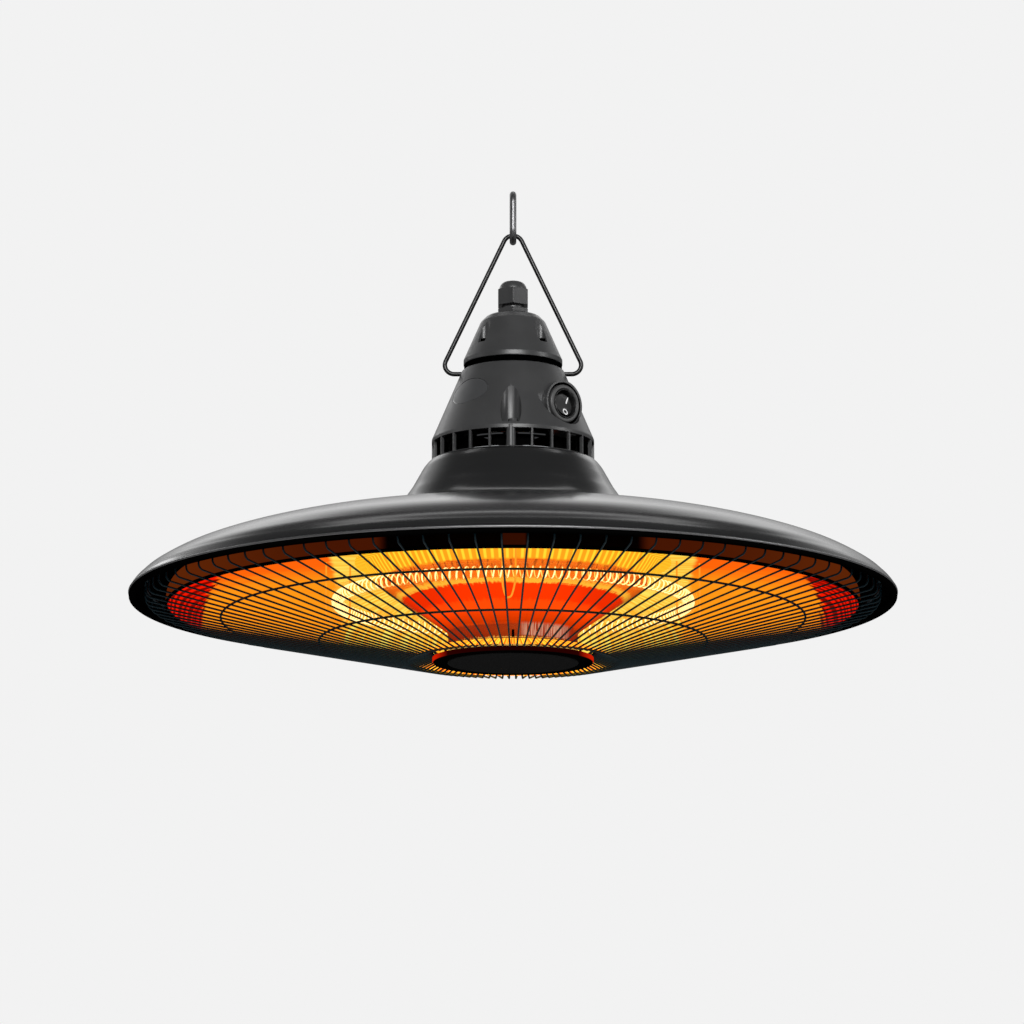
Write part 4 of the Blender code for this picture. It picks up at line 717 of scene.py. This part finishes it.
PLASTIC = moulded_plastic()
BADGE = grained("badge_plastic", (3800,), (0.055, 0.056, 0.058), None, 0.27, 0.05, (0.00003, 0.3))
ENAMEL = satin_enamel()
BAIL_BLACK = grained(
    "black_wire", (1500,), (0.004, 0.004, 0.0042), (0.006, 0.006, 0.0064), 0.28, 0.05, specular_ior_level=0.35
)
GUARD = grained(
    "guard_wire", (700,), (0.0012, 0.012, 0.018), (0.0022, 0.018, 0.026), 0.34, 0.12,
    steps=(0.3, 0.7), specular_ior_level=0.15,
)
LINK_STEEL = plated_steel("link_steel", 0.19, 0.34)
# A lighter steel on the shade's black lip paints the highlight along its edge.
LIP_HIGHLIGHT = plated_steel("lip_highlight", 0.22, 0.35)
ZINC = plated_steel("plated_steel", 0.42, 0.30)
RUBBER = rubber("rubber", 0.010, 0.55)
BOOT = rubber("boot_rubber", 0.055, 0.42)
SWITCH_BLACK = rubber("switch_black", 0.012, 0.28)
HUB_DISC = matt_black("hub_disc_black", 0.016, 0.55)
# Painted shade in flat black: the shade's inside and hem, and the pan's bead.
SHADOW_BLACK = matt_black("shadow_black", 0.001, 0.6)
# Painted shade in flat black on the inner parts seen through the vents.
INNER_SHADOW_BLACK = matt_black("inner_shadow_black", 0.003, 0.7)
# The black seam ring, and painted shade in the switch's gap and the cap's screw pockets.
SEAM_AND_SHADOW_BLACK = matt_black("seam_and_shadow_black", 0.0005, 0.8)
CAN_BLACK = can_black()
BAFFLE = baffle_black()
SILL = sill_light()
REFLECTOR_HUB = hub_glow()
REFLECTOR_PAN = pan_glow()
REFLECTOR_FOOT = foot_glow()
PAINTED_RED_GLOW = painted_red_glow()
QUARTZ = quartz()
COIL = glowing_coil("glowing_coil", 2.0, (1.0, 0.66, 0.22), (1.0, 0.76, 0.34))
COIL_BACK = glowing_coil("dim_coil", 1.5, (1.0, 0.46, 0.06), (1.0, 0.58, 0.13))
HAIRPIN = hairpin_steel()
CERAMIC = grained(
    "ceramic", (900, 4), (0.72, 0.68, 0.60), (0.60, 0.55, 0.47), 0.6, bump=(0.00006, 0.5), steps=(0.4, 0.7)
)
SLEEVE = grained("woven_sleeve", (1400, 1), (0.55, 0.53, 0.48), (0.74, 0.72, 0.66), 0.75, bump=(0.0002, 0.7))
CREAM = grained("cream_plastic", (1500,), (0.70, 0.67, 0.58), (0.78, 0.75, 0.66), 0.45, bump=(0.00004, 0.4))
PRINT = grained("white_print", (2500,), grey(0.84), grey(0.92), 0.5)


# Hanging link and bail

LINK_WIRE, LINK_ARC = 2.6, 8.4
LINK_BASE, LINK_TOP = 277.0, 319.5
BAIL_WIRE = 1.75
BAIL_FEET, BAIL_APEX = 174.5, 294.5
BAIL_CORNER, BAIL_FOOT_END = 56.4, 30.37


def link():
    """Two half circles in the YZ plane, joined by straights."""
    turn = np.linspace(0, np.pi, 25)
    y, z = LINK_ARC * np.cos(turn), LINK_ARC * np.sin(turn)
    reach = LINK_WIRE + LINK_ARC
    top = np.stack([0 * turn, y, LINK_TOP - reach + z], -1)
    bottom = np.stack([0 * turn, -y, LINK_BASE + reach - z], -1)
    made = wire("link_wire", np.concatenate([top, bottom]), LINK_WIRE, (1, 0, 0), LINK_STEEL, 20, closed=True)
    place(made, "link", ["hanging_link"])


def bail():
    """Two slanted legs that meet in a rounded apex, with feet bent in at rounded corners."""
    legs = [(-BAIL_CORNER, BAIL_FEET), (0, BAIL_APEX), (BAIL_CORNER, BAIL_FEET)]
    corners = [(-BAIL_FOOT_END, BAIL_FEET), *legs, (BAIL_FOOT_END, BAIL_FEET)]
    x, z = rounded(corners, [0, 7.2, 7.5, 7.2, 0], 14, closed=False).T
    bends = np.stack([x, 0 * x, z], -1)
    pieces = [np.linspace(a, b, 5, endpoint=False) for a, b in zip(bends, bends[1:])]
    path = np.concatenate(pieces + [bends[-1:]])
    place(wire("bail_wire", path, BAIL_WIRE, (0, 1, 0), BAIL_BLACK, 20), "bail", ["bail"])


# Housing

HOUSING_BASE, CREASE, CONE_TOP, CAP_BASE = 104.8, 122.0, 176.5, 181.0
CREASE_RADIUS, CONE_TOP_RADIUS = 62.0, 38.9
CONE_FALL = (CREASE_RADIUS - CONE_TOP_RADIUS) / (CONE_TOP - CREASE)
VENTS, VENT_LOW, VENT_HIGH = 24, 105.3, 119.3
POCKET_CIRCLE, CAP_POCKET_CIRCLE = 56.1, 30.6
POCKETS = around(3, HOUSING_TURN)
CAP_POCKETS = around(4, CAP_TURN + np.pi / 4)
BADGE_HEIGHT, BADGE_AZIMUTH = CREASE + 31.5, np.radians(-45.2)
BADGE_LONG, BADGE_WIDE = 18.6, 10.9
HEX_FLATS = 22.8

# The switch's X lies across its face, Y upwards and Z out of it.
SWITCH_FACING = np.radians(41.5)
SWITCH = shift(*polar(52.0, np.radians(48.5), CREASE + 21.5))
SWITCH[:3, 0] = np.cos(SWITCH_FACING), np.sin(SWITCH_FACING), 0
SWITCH[:3, 1] = 0, 0, 1
SWITCH[:3, 2] = np.sin(SWITCH_FACING), -np.cos(SWITCH_FACING), 0
SWITCH = SWITCH @ rotation("Z", np.radians(-12))


def cone_radius(z):
    """The housing's outer radius, which falls evenly above the crease."""
    return CREASE_RADIUS - (z - CREASE) * CONE_FALL


def disc(name, radius, low, high, x=0, y=0):
    """A round bar on the switch's axis, or beside it."""
    return bar(name, radius, low, high, 128, 0.01, SWITCH @ shift(x, y, 0))


def lower_housing():
    """A turned shell with vent windows, three screw pockets, the switch seat and the bail's holes."""
    neck = [(39.3, 175.6), (38.2, 176.4), (0, 176.4)]
    outer = rounded(
        [(0, HOUSING_BASE), (CREASE_RADIUS, HOUSING_BASE), (CREASE_RADIUS, CREASE), *neck],
        [0, 0.3, 3.0, 0.5, 0.4, 0],
    )
    housing = turned_solid("housing_shell", dense_solid(outer), PLASTIC, 240, HOUSING_TURN)
    ceiling = 174.4
    under_cone = (cone_radius(ceiling) - 2.5, ceiling)
    inner = [(0, 102), (59.5, 102), (59.5, CREASE), under_cone, (24, ceiling), (24, 181), (0, 181)]
    boss_back = -4.5
    hollow = carve(
        turned_solid("hollow", inner, None, 240, HOUSING_TURN),
        (CUT, posts("columns", 3.7, 100, 124, POCKET_CIRCLE, POCKETS)),
        (CUT, posts("blocks", 10.3, 121, 158, POCKET_CIRCLE, POCKETS)),
        (CUT, disc("backing", 25.5, boss_back, 19)),
    )
    pitch, rib, wide_rib = TAU / VENTS, 0.75 / CREASE_RADIUS, 1.2 / CREASE_RADIUS
    k = np.arange(VENTS)
    starts = HOUSING_TURN + k * pitch + np.where(k % 8 == 0, wide_rib, rib)
    ends = HOUSING_TURN + (k + 1) * pitch - np.where((k + 1) % 8 == 0, wide_rib, rib)
    across = shift(0, 0, BAIL_FEET) @ rotation("Y", np.pi / 2)
    return carve(
        housing,
        (CUT, disc("groove", 21, -3.4, 19, -3.5, 3.0)),
        (ADD, disc("boss", 18.0, boss_back, 0.0)),
        (CUT, hollow),
        (CUT, sector_boxes("vents", 59.2, 64, starts, ends, VENT_LOW, VENT_HIGH)),
        (ADD, posts("column_fronts", 3.4, 105.4, 121.6, 58.9, POCKETS)),
        (CUT, posts("pockets", 7.8, 123.8, 181, POCKET_CIRCLE, POCKETS, 96)),
        (CUT, posts("screw_holes", 1.9, 100, 178, POCKET_CIRCLE, POCKETS, 32)),
        (CUT, posts("cap_holes", 1.7, 172, 181, CAP_POCKET_CIRCLE, CAP_POCKETS, 32)),
        (CUT, disc("seat", 20.5, 0.05, 19, -3, 2.5)),
        (CUT, disc("recess", 16.4, -3.4, 19)),
        (CUT, disc("barrel", 11.4, -25, 0.5)),
        (CUT, bar("feet", 1.8, -70, 70, 40, 0, across)),
        (CUT, badge_solid("badge_recess", None, 0.25, 1.15, 2.0)),
    )


def badge_solid(name, finish, grow, depth, rise):
    """An oval patch of the cone, between two offsets: azimuth and height follow ellipses on its surface."""
    turn = around(96)
    share = np.array([1.0, 0.97, 0.9, 0.6, 0.3])[:, None]
    lean = np.arctan(CONE_FALL)
    z = BADGE_HEIGHT + share * (BADGE_WIDE + grow) * np.sin(turn) * np.cos(lean)
    azimuth = BADGE_AZIMUTH + share * (BADGE_LONG + grow) * np.cos(turn) / cone_radius(BADGE_HEIGHT)
    edge = np.array([0.12, 0, 0, 0, 0])[:, None] if finish else 0.0
    front, back = (
        polar(cone_radius(z) + lift * np.cos(lean), azimuth, z + lift * np.sin(lean))
        for lift in (rise - edge, np.full((5, 1), -depth))
    )
    points = np.concatenate([front[::-1], back])
    return mesh_object(name, points, [sheet_faces(10, 96), end_faces(10, 96)], finish, 40)


def upper_cap():
    """A turned shell with four screw pockets."""
    outer = rounded(
        [(0, CAP_BASE), (37.9, CAP_BASE), (37.9, 184.9), (24.9, 214.7), (20.5, 219.2), (15.5, 221), (0, 221)],
        [0, 0.5, 2.2, 7.0, 4.0, 2.0, 0],
        8,
    )
    inner = [
        (0, 179), (32.8, 179), (32.8, 183.5), (35.4, 183.5), (35.4, 184.9),
        (22.3, 212.4), (13, 218.5), (8.6, 218.5), (8.6, 226), (0, 226),
    ]
    hollow = carve(
        turned_solid("cap_hollow", inner, None, 240, CAP_TURN),
        (CUT, posts("cap_blocks", 6.3, 177, 214.7, CAP_POCKET_CIRCLE, CAP_POCKETS)),
    )
    return carve(
        turned_solid("cap_shell", dense_solid(outer), PLASTIC, 240, CAP_TURN),
        (CUT, hollow),
        (CUT, posts("cap_pockets", 4.5, 194.5, 226, CAP_POCKET_CIRCLE, CAP_POCKETS, 80)),
        (CUT, posts("cap_holes", 1.7, 177, 220, CAP_POCKET_CIRCLE, CAP_POCKETS, 32)),
    )


def vent_inside():
    """Two black fins beside the baffle that paint shade into the side vents, and the edge ring whose painted
    daylight shows at the bottom of the front vents.
    """
    middle, half = np.array([-np.pi / 2, np.pi / 2]), 0.012
    fins = sector_boxes("vent_fins", 49.2, 59.0, middle - half, middle + half, 105.4, 121.4, 2, INNER_SHADOW_BLACK)
    place(fins, "heater", ())
    edge = rounded([(57.4, 105.0), (58.6, 105.0), (58.6, 106.3), (57.4, 106.3)], 0.2, 2)
    place(turned("sill_edge", edge, SILL), "heater", ())


def seam_ring():
    """The black ring between the cap and the housing: a rounded rectangle carried round the axis."""
    ring = rounded([(32.5, 175.8), (37.5, 175.8), (37.5, 181.6), (32.5, 181.6)], 0.5)
    place(turned("seam_band", ring, SEAM_AND_SHADOW_BLACK), "heater", ["cap_gasket"])


def hex_bar(low, high):
    """A six-sided bar with a corner to the front."""
    return bar("hex", HEX_FLATS / 2 / np.cos(np.pi / 6), low, high, 6)


def gland():
    """Body and dome nut: chamfered turned solids cut to a hexagon, the dome over a quarter ellipse."""
    body = rounded(
        [
            (5.2, 209.3), (8.3, 209.3), (8.3, 221.0), (12.5, 221.0), (13.3, 221.5),
            (13.3, 224.5), (12.5, 225.0), (8.3, 225.0), (8.3, 236.1), (5.2, 236.1),
        ],
        [0, 0.3, 0, 0.2, 0.2, 0.2, 0.2, 0, 0.3, 0],
    )
    made = carve(turned("gland_lower", body, PLASTIC, 120), (COMMON, hex_bar(205, 240)))
    place(made, "heater", ["gland_body"])
    turn = np.linspace(0, np.pi / 2, 12)
    dome = np.stack([5.5 + 5.1 * np.cos(turn), 240.6 + 6.5 * np.sin(turn)], -1)
    rim = rounded(
        [(8.6, 228.0), (12.3, 228.0), (13.3, 228.6), (13.3, 239.8), (12.3, 240.5), (10.6, 240.5)],
        [0, 0.2, 0.3, 0.3, 0.2, 0],
        3,
        closed=False,
    )
    nut = np.concatenate([rim, dome, [(5.2, 246.6), (5.2, 240.0), (8.6, 240.0)]])
    made = carve(turned("gland_dome", nut, PLASTIC, 144), (COMMON, hex_bar(225.8, 250)))
    place(made, "heater", ["gland_nut"])


# Switch

ROCKER = SWITCH @ shift(0.4, -0.9, -5.0) @ rotation("X", np.radians(-12))
ROCKER_RADIUS, ROCKER_TOP, ROCKER_DISH = 8.8, 3.5, 0.9
INK_TOP, INK_BASE = 0.06, -0.2


def switch():
    """Boot ring, barrel and a black groove sheet that paints shade in the gap between ring and housing,
    turned about the switch's axis.
    """
    ring = rounded(
        [(11.3, -1.9), (14.5, -1.9), (14.5, 0.4), (13.5, 1.2), (11.8, 1.2), (11.3, 0.5)],
        [0, 0, 0.9, 0.6, 0.5, 0.3],
    )
    place(turned("boot_ring", ring, BOOT, 120, 0, SWITCH), "heater", ["switch_boot_ring"])
    cup = rounded(
        [(0, -14), (11.1, -14), (11.1, 1.4), (10.4, 1.4), (10.4, -13), (0, -13)], [0, 0.4, 0.3, 0.3, 0, 0]
    )
    barrel = turned_solid("switch_barrel", cup, SWITCH_BLACK, 120, 0, SWITCH)
    place(barrel, "heater", ["switch_body"])
    channel = [(14.6, -3.3), (16.3, -3.3), (16.3, -0.3), (15.9, -0.3), (15.9, -2.9), (14.6, -2.9)]
    groove = turned("boot_groove", rounded(channel, 0.1, 2), SEAM_AND_SHADOW_BLACK, 120, 0, SWITCH)
    place(groove, "heater", ())


def rocker():
    """A round button: its face rises with the square of y and rounds off at its edge; the skirt tapers."""
    flat = 0.92
    share = np.append(np.linspace(0, flat, 14)[1:], [0.955, 0.98, 0.995, 1.0])[:, None]
    edge = np.clip((share - flat) / (1 - flat), 0, 1)
    turn = around(96)
    x, y = share * np.cos(turn), share * np.sin(turn)
    top = ROCKER_TOP + ROCKER_DISH * y**2 * (1 - 0.2 * edge) - 0.45 * (1 - np.sqrt(1 - edge**2))
    face = np.stack([ROCKER_RADIUS * x, ROCKER_RADIUS * y, top], -1)
    under = face[-1:] * [0.8, 0.8, 0] + [0, 0, -3.0]
    points = moved(np.concatenate([face, under]), ROCKER)
    faces = [sheet_faces(len(points), 96), end_faces(len(points), 96)]
    place(mesh_object("rocker", points, faces, SWITCH_BLACK), "rocker", ["switch_rocker"])


def on_rocker(x, y, lift):
    """Points of the rocker's face, lifted off it."""
    return moved(np.stack([x, y, ROCKER_TOP + ROCKER_DISH * (y / ROCKER_RADIUS) ** 2 + lift], -1), ROCKER)


def marks():
    """The two generic marks: an oval ring and a slanted bar, thin and laid along the rocker's face."""
    turn = around(64)
    x, y = np.cos(turn), np.sin(turn)
    corners = (2.5, 2.6, INK_TOP), (1.55, 1.6, INK_TOP), (1.55, 1.6, INK_BASE), (2.5, 2.6, INK_BASE)
    oval = np.stack([on_rocker(1.5 + a * x, -6.0 + b * y, lift) for a, b, lift in corners])
    made = mesh_object("mark_off", oval, [sheet_faces(4, 64, close_rows=True)], PRINT)
    place(made, "rocker", ())
    up = np.linspace(0.2, 5.7, 8)
    middle = 3.2 + 0.2 * (up - 3)
    corners = (-0.6, INK_TOP), (0.6, INK_TOP), (0.6, INK_BASE), (-0.6, INK_BASE)
    stroke = np.stack([on_rocker(middle + side, up + 1.4, lift) for side, lift in corners], 1)
    made = mesh_object("mark_on", stroke, [sheet_faces(8, 4), end_faces(8, 4)], PRINT)
    place(made, "rocker", ())


# Shade and reflectors

SHADE_WALL, PAN_WALL, HUB_WALL = 1.2, 1.2, 1.0


def shade():
    """The spun sheet: a smooth curve from the lip to the neck, its thickness inside, and a rolled hem."""
    dish = [
        (289.3, 0.8), (287.6, 3.6), (284, 7.6), (275, 15), (255, 25.7), (225, 36.1), (190, 44.6), (150, 50.7),
        (115, 56.4), (92, 65), (79.2, 80.4), (72.6, 91.5), (68.6, 98.6), (65.4, 102.8),
    ]
    outer = smooth(dish, 160)
    neck = [(63.6, 104.5), (48, 104.5), (48, 103.3), (62.5, 103.3)]
    shoulder = rounded([outer[-1], *neck], [0, 1.1, 0, 0, 0], 6, closed=False)
    inside = sideways(outer, -SHADE_WALL)[::-1]
    bead = rounded([(284.6, 0.6), (284.0, -4.4), (289.6, -4.4), (289.6, -1.2)], [1.2, 1.8, 2.0, 0.3], 7)
    turn = np.linspace(-1.2, 1.6, 9)
    lip = np.stack([289.1 + 0.9 * np.cos(turn), -0.2 + 0.9 * np.sin(turn)], -1)
    profile = np.concatenate([outer, shoulder[1:], inside[3:-5], bead, lip])
    made = turned("shade_sheet", profile, ENAMEL, 384, sharp=50)
    # The shade's inside and hem get painted shade in flat black, and its lip gets a painted highlight in a
    # lighter steel.
    dark_from = len(outer) + len(shoulder) - 2
    zones(made, len(profile), (dark_from, SHADOW_BLACK), (len(profile) - len(lip), LIP_HIGHLIGHT))
    place(made, "heater", ["shade"])


def pan():
    """The outer reflector: a smooth curve for wall and ceiling, its thickness above, and a rolled hem."""
    curve = [
        (260.8, -8), (260.3, -2), (259.0, 3.5), (254, 9.6), (240, 15.6),
        (215, 21.2), (180, 25.6), (150, 27.6), (133, 27.8), (106, 27.8),
    ]
    under = smooth(curve, 90)
    over = sideways(under, PAN_WALL)[::-1]
    bead = rounded([(262.3, -7.8), (262.3, -10.3), (260.4, -10.3), (260.4, -8.2)], [0.3, 0.9, 0.9, 0.3])
    profile = np.concatenate([under, over, bead])
    made = turned("pan_sheet", profile, REFLECTOR_PAN, 288)
    # The pan's top gets the painted red glow, and its hem bead gets painted shade in flat black.
    zones(made, len(profile), (len(under) - 1, PAINTED_RED_GLOW), (len(profile) - len(bead), SHADOW_BLACK))
    place(made, "heater", ["reflector_pan"])


def hub_cone():
    """The trumpet round the hub: a smooth curve from its flange under the pan down to its flat foot."""
    curve = [
        (112, 25.4), (106, 16.5), (98, 7), (88, 0.5), (76, -7.4),
        (62, -17.0), (52.5, -23.8), (49.7, -26.5), (49.0, -30), (49.0, -41.4),
    ]
    outside = smooth(curve, 110)
    inside = sideways(outside, HUB_WALL)[::-1]
    flange, floor = [(120, 27.5), (120, 26.5)], [(2.8, -41.4), (2.8, -40.4), (48.0, -40.4)]
    profile = np.concatenate([flange, outside, floor, inside[2:], [(111, 27.5)]])
    made = turned("hub_cone", profile, REFLECTOR_HUB, 288, sharp=40)
    place(made, "heater", ["hub_reflector"])


# Ring heater

RING, RING_HEIGHT = 132.7, -2.5
RING_GAP = 13.0 / RING
COIL_TURNS, COIL_STEPS, COIL_RADIUS, COIL_SAG = 147, 14, 4.4, 0.9
TAIL_POINTS = 8


def tube():
    """A quartz tube bent to a ring that is open at the back: circles of two radii, joined at the ends."""
    path = polar(RING, np.linspace(-np.pi + RING_GAP, np.pi - RING_GAP, 241), RING_HEIGHT)
    outer, inner = (tube_points(path, radius, (0, 0, 1), 28) for radius in (7.5, 6.2))
    points = np.concatenate([outer, inner[::-1]])
    made = mesh_object("tube_glass", points, [sheet_faces(len(points), 28, close_rows=True)], QUARTZ)
    place(made, "heater", ["quartz_tube"])


def coil():
    """A helix along the ring: radius and height follow the turn's cosine and sine, with straight tails.

    The half of each turn that faces the front is thicker and brighter than the other.
    """
    start = -np.pi + RING_GAP + 12 / RING
    steps = COIL_TURNS * COIL_STEPS
    n = np.arange(steps + 1)
    ease = np.clip(np.minimum(n, steps - n) / COIL_STEPS, 0, 1)
    turn = TAU * n / COIL_STEPS
    out, up = (np.pad(ease * wave, TAIL_POINTS) for wave in (np.cos(turn), np.sin(turn)))
    tail = np.linspace(24, 1, TAIL_POINTS) / RING
    helix = start * (1 - 2 * n / steps)
    azimuth = np.concatenate([start - tail, helix, -start + tail[::-1]])
    held = np.pad(helix, TAIL_POINTS, mode="edge")
    path = polar(RING + COIL_RADIUS * out, azimuth, RING_HEIGHT - COIL_SAG + COIL_RADIUS * up)
    front = 0.5 + 0.5 * (0.98 * out * np.cos(held) - 0.19 * up)
    thick = 0.50 + 0.14 * np.clip(3 * front - 1.2, 0, 1)
    sides = 7
    made = wire("coil_wire", path, thick, polar(1.0, held, 0.3), COIL, sides)
    made.data.materials.append(COIL_BACK)
    rear = np.concatenate([np.repeat(front[:-1] < 0.5, sides), [True, True]])
    made.data.polygons.foreach_set("material_index", rear.astype(np.int32))
    place(made, "heater", ["heating_coil"])


def clips():
    """Hairpins of wire, each a smooth curve that hangs from the pan and passes under the tube."""
    route = [
        (8.9, 0, 27.5), (8.9, 0, 10), (8.9, 0, -6), (8.4, -0.5, -13), (4.0, -2.6, -20.6), (0, -4.7, -22.0),
        (-4.0, -6.9, -20.6), (-8.4, -9.0, -13), (-8.9, -9.5, -6), (-8.9, -9.5, 10), (-8.9, -9.5, 27.5),
    ]
    out, along, height = smooth(route, 90).T
    for k, azimuth in enumerate((0, np.pi / 2, -np.pi / 2), 1):
        path = polar(RING + out, azimuth, height, along + 1.8)
        made = wire(f"hairpin_{k}", path, 0.7, polar(0.0, azimuth, 0.0, 1.0), HAIRPIN, 10)
        place(made, "heater", [f"tube_clip_{k}"])


# Guard and hub

WIRES, GUARD_WIRE = 96, 0.75
WIRE_TURN = np.radians(180 / WIRES + 0.24)
RIM_RADIUS = 277.0


def guard():
    """Wires in radial planes: down from the rim ring, round a bend, down the slope and up to the hub ring."""
    corners = [(RIM_RADIUS, 4.6), (RIM_RADIUS, -6.4), (80.0, -48.9), (60.4, -41.2)]
    path = rounded(corners, [0, 5.0, 2.2, 0], 7, closed=False)
    bend_end = 8
    slope = np.linspace(path[bend_end], path[bend_end + 1], 10)[1:]
    r, z = np.concatenate([path[: bend_end + 1], slope, path[bend_end + 2 :]]).T
    azimuth = around(WIRES, WIRE_TURN)[:, None]
    points = tube_points(polar(r, azimuth, z), GUARD_WIRE, polar(0.0, azimuth, 0.0, 1.0), 8)
    faces = [sheet_faces(len(r), 8, sheets=WIRES), end_faces(len(r), 8, WIRES)]
    place(mesh_object("guard_wires", points, faces, GUARD, 50), "heater", ["grille"])
    for name, radius, height, thick, nodes in (
        ("rim_ring", RIM_RADIUS, 5.0, 1.0, ()),
        ("hub_ring", 59.4, -40.3, 1.1, ()),
        ("outer_hoop", 220.5, -17.2, 0.85, ["support_ring_outer"]),
        ("inner_hoop", 146.4, -33.5, 0.85, ["support_ring_inner"]),
    ):
        made = wire(name, polar(radius, around(288), height), thick, (0, 0, 1), GUARD, 10, closed=True)
        place(made, "heater", nodes)


def hub_foot():
    """A dished ring that lies on the wires round the hub's can and carries the painted reflection at the
    hub's foot.
    """
    ring = rounded([(62.0, -40.7), (78.5, -47.2), (78.7, -46.7), (62.2, -40.2)], 0.1, 2)
    place(turned("hub_foot", dense(ring), REFLECTOR_FOOT, 288), "heater", ())


def hub():
    """The can under the hub and its recessed plate, turned about the axis."""
    can = rounded(
        [
            (2.8, -48.6), (49.9, -48.6), (49.9, -49.1), (51.2, -49.6), (59.9, -49.6), (60.9, -48.6),
            (60.9, -45.6), (59.6, -45.6), (59.6, -47.3), (6, -47.3), (6, -41.7), (2.8, -41.7),
        ],
        [0, 0, 0, 0.6, 0.8, 0.6, 0.3, 0.3, 0, 0, 0, 0],
    )
    place(turned("hub_can", can, CAN_BLACK, 240), "heater", ["hub_cap"])
    plate = rounded([(0, -49.9), (49.5, -49.9), (49.5, -48.9), (0, -48.9)], [0, 0.5, 0, 0])
    place(turned_solid("hub_disc", plate, HUB_DISC, 240), "heater", ["hub_plate"])


def dress_frame():
    """Finishes for the CAD pieces that stay, by the start of their names."""
    finishes = {
        "gland_seal": RUBBER,
        "gland_locknut": ZINC,
        "rocker_pin": ZINC,
        "inner_baffle": BAFFLE,
        "terminal_block": CREAM,
        "lead_wire": SLEEVE,
        # Painted shade: the clamp ring and hanger rods behind the vents are dark.
        "clamp_ring": INNER_SHADOW_BLACK,
        "hanger_rod": INNER_SHADOW_BLACK,
        # Painted shade: the screws deep in their pockets are dark.
        "cap_screw": SEAM_AND_SHADOW_BLACK,
        "housing_screw": PLASTIC,
        "heat_shield": ZINC,
        "reflector_spacer": ZINC,
        # Painted red glow, the ring's light.
        "pan_hanger": PAINTED_RED_GLOW,
        "tube_holder": CERAMIC,
        "hub_bolt": ZINC,
        "hub_clip": SEAM_AND_SHADOW_BLACK,
        # Painted red glow, the ring's light.
        "grille_clip": PAINTED_RED_GLOW,
    }
    for stem, finish in finishes.items():
        for name in frame["nodes"]:
            if name.startswith(stem):
                for slot in frame["nodes"][name].material_slots:
                    slot.material = finish


# Studio


def world():
    """A backdrop that the camera sees as one tone, and a soft glow from behind that lights the object."""
    studio = bpy.data.worlds.new("studio")
    bpy.context.scene.world = studio
    studio.use_nodes = True
    tree = studio.node_tree
    tree.nodes.clear()

    def node(kind, *values, **settings):
        """The outputs of a node, with its settings and the values or links of its first sockets."""
        made = tree.nodes.new(f"ShaderNode{kind}")
        for name, value in settings.items():
            setattr(made, name, value)
        for socket, value in zip(made.inputs, values):
            if isinstance(value, bpy.types.NodeSocket):
                tree.links.new(value, socket)
            else:
                socket.default_value = value
        return made.outputs

    direction = node("SeparateXYZ", node("TexCoord")["Generated"])
    glow = 1.0
    for axis, low, high, dark, light in (
        ("Y", -0.1, 0.3, 0.0, 1.0),
        ("Z", 0.52, 0.74, 1.0, 0.0),
        ("Z", 0.24, 0.42, 0.05, 1.0),
        ("X", -0.35, 0.55, 0.78, 0.68),
    ):
        fade = node("MapRange", direction[axis], low, high, dark, light, interpolation_type="SMOOTHSTEP")[0]
        glow = node("Math", glow, fade, operation="MULTIPLY")[0]
    soft = node("Background", node("Math", glow, 0.12, operation="ADD")[0])[0]
    backdrop = node("Background", (0.888, 0.888, 0.888, 1))[0]
    node("OutputWorld", node("MixShader", node("LightPath")["Is Camera Ray"], soft, backdrop)[0])


def pale_floor():
    """A square far below the heater."""
    half, depth = 3.0, -1.9
    mesh = bpy.data.meshes.new("floor")
    corners = [(-half, -half, depth), (half, -half, depth), (half, half, depth), (-half, half, depth)]
    mesh.from_pydata(corners, [], [(0, 1, 2, 3)])
    pale = Finish("pale_floor", roughness=0.8)
    mesh.materials.append(pale.set(base_color=pale.blend(pale.noise(6), grey(0.78), grey(0.82))).material)
    floor = add_object("floor", mesh)


def lights():
    """Soft rectangular lights that face a point just below the hanging point."""
    aim = np.array([0, 0, -0.2])
    for name, at, wide, tall, power in (
        ("left_back", (-2.1, 1.9, 0.95), 1.4, 0.5, 6),
        ("left_side", (-2.8, -0.3, 0.4), 0.8, 1.2, 2.5),
        ("right_front", (2.8, -0.9, 0.35), 0.8, 1.2, 18),
        ("front_strip", (0.15, -2.6, 0.70), 1.5, 0.35, 58),
        ("back_bank", (0.2, 2.5, 1.7), 3.5, 1.0, 9),
        ("overhead_bank", (0.0, 0.7, 2.1), 2.4, 0.30, 5),
        ("lens_fill", (0.2, -2.9, -0.5), 0.5, 0.5, 2),
    ):
        light = bpy.data.lights.new(name, "AREA")
        light.shape = "RECTANGLE"
        light.size = wide
        light.size_y = tall
        light.energy = power
        made = add_object(name, light)
        made.location = at
        x, y, z = aim - at
        made.rotation_euler = (np.arctan2(np.hypot(x, y), -z), 0, np.arctan2(y, x) - np.pi / 2)
        made.visible_camera = False


def camera():
    """The photograph's view: 11.2 degrees up, from 2.73 m in front and 0.47 m below the lip."""
    lens = bpy.data.cameras.new("camera")
    lens.sensor_width = 36
    lens.lens = 128.68
    lens.clip_end = 50
    made = add_object("camera", lens)
    made.location = (-0.00076, -2.7318, -0.78985)
    made.rotation_euler = (np.radians(90 + 11.202), 0, 0)
    bpy.context.scene.camera = made
    bpy.context.scene.view_settings.view_transform = "Standard"


link()
bail()
place(lower_housing(), "heater", ["lower_housing"])
place(badge_solid("badge", BADGE, 0.0, 0.9, 0.0), "heater", ["badge_plate"])
place(upper_cap(), "heater", ["upper_cap"])
vent_inside()
seam_ring()
gland()
switch()
rocker()
marks()
shade()
pan()
hub_cone()
tube()
coil()
clips()
guard()
hub_foot()
hub()
dress_frame()
world()
pale_floor()
lights()
camera()
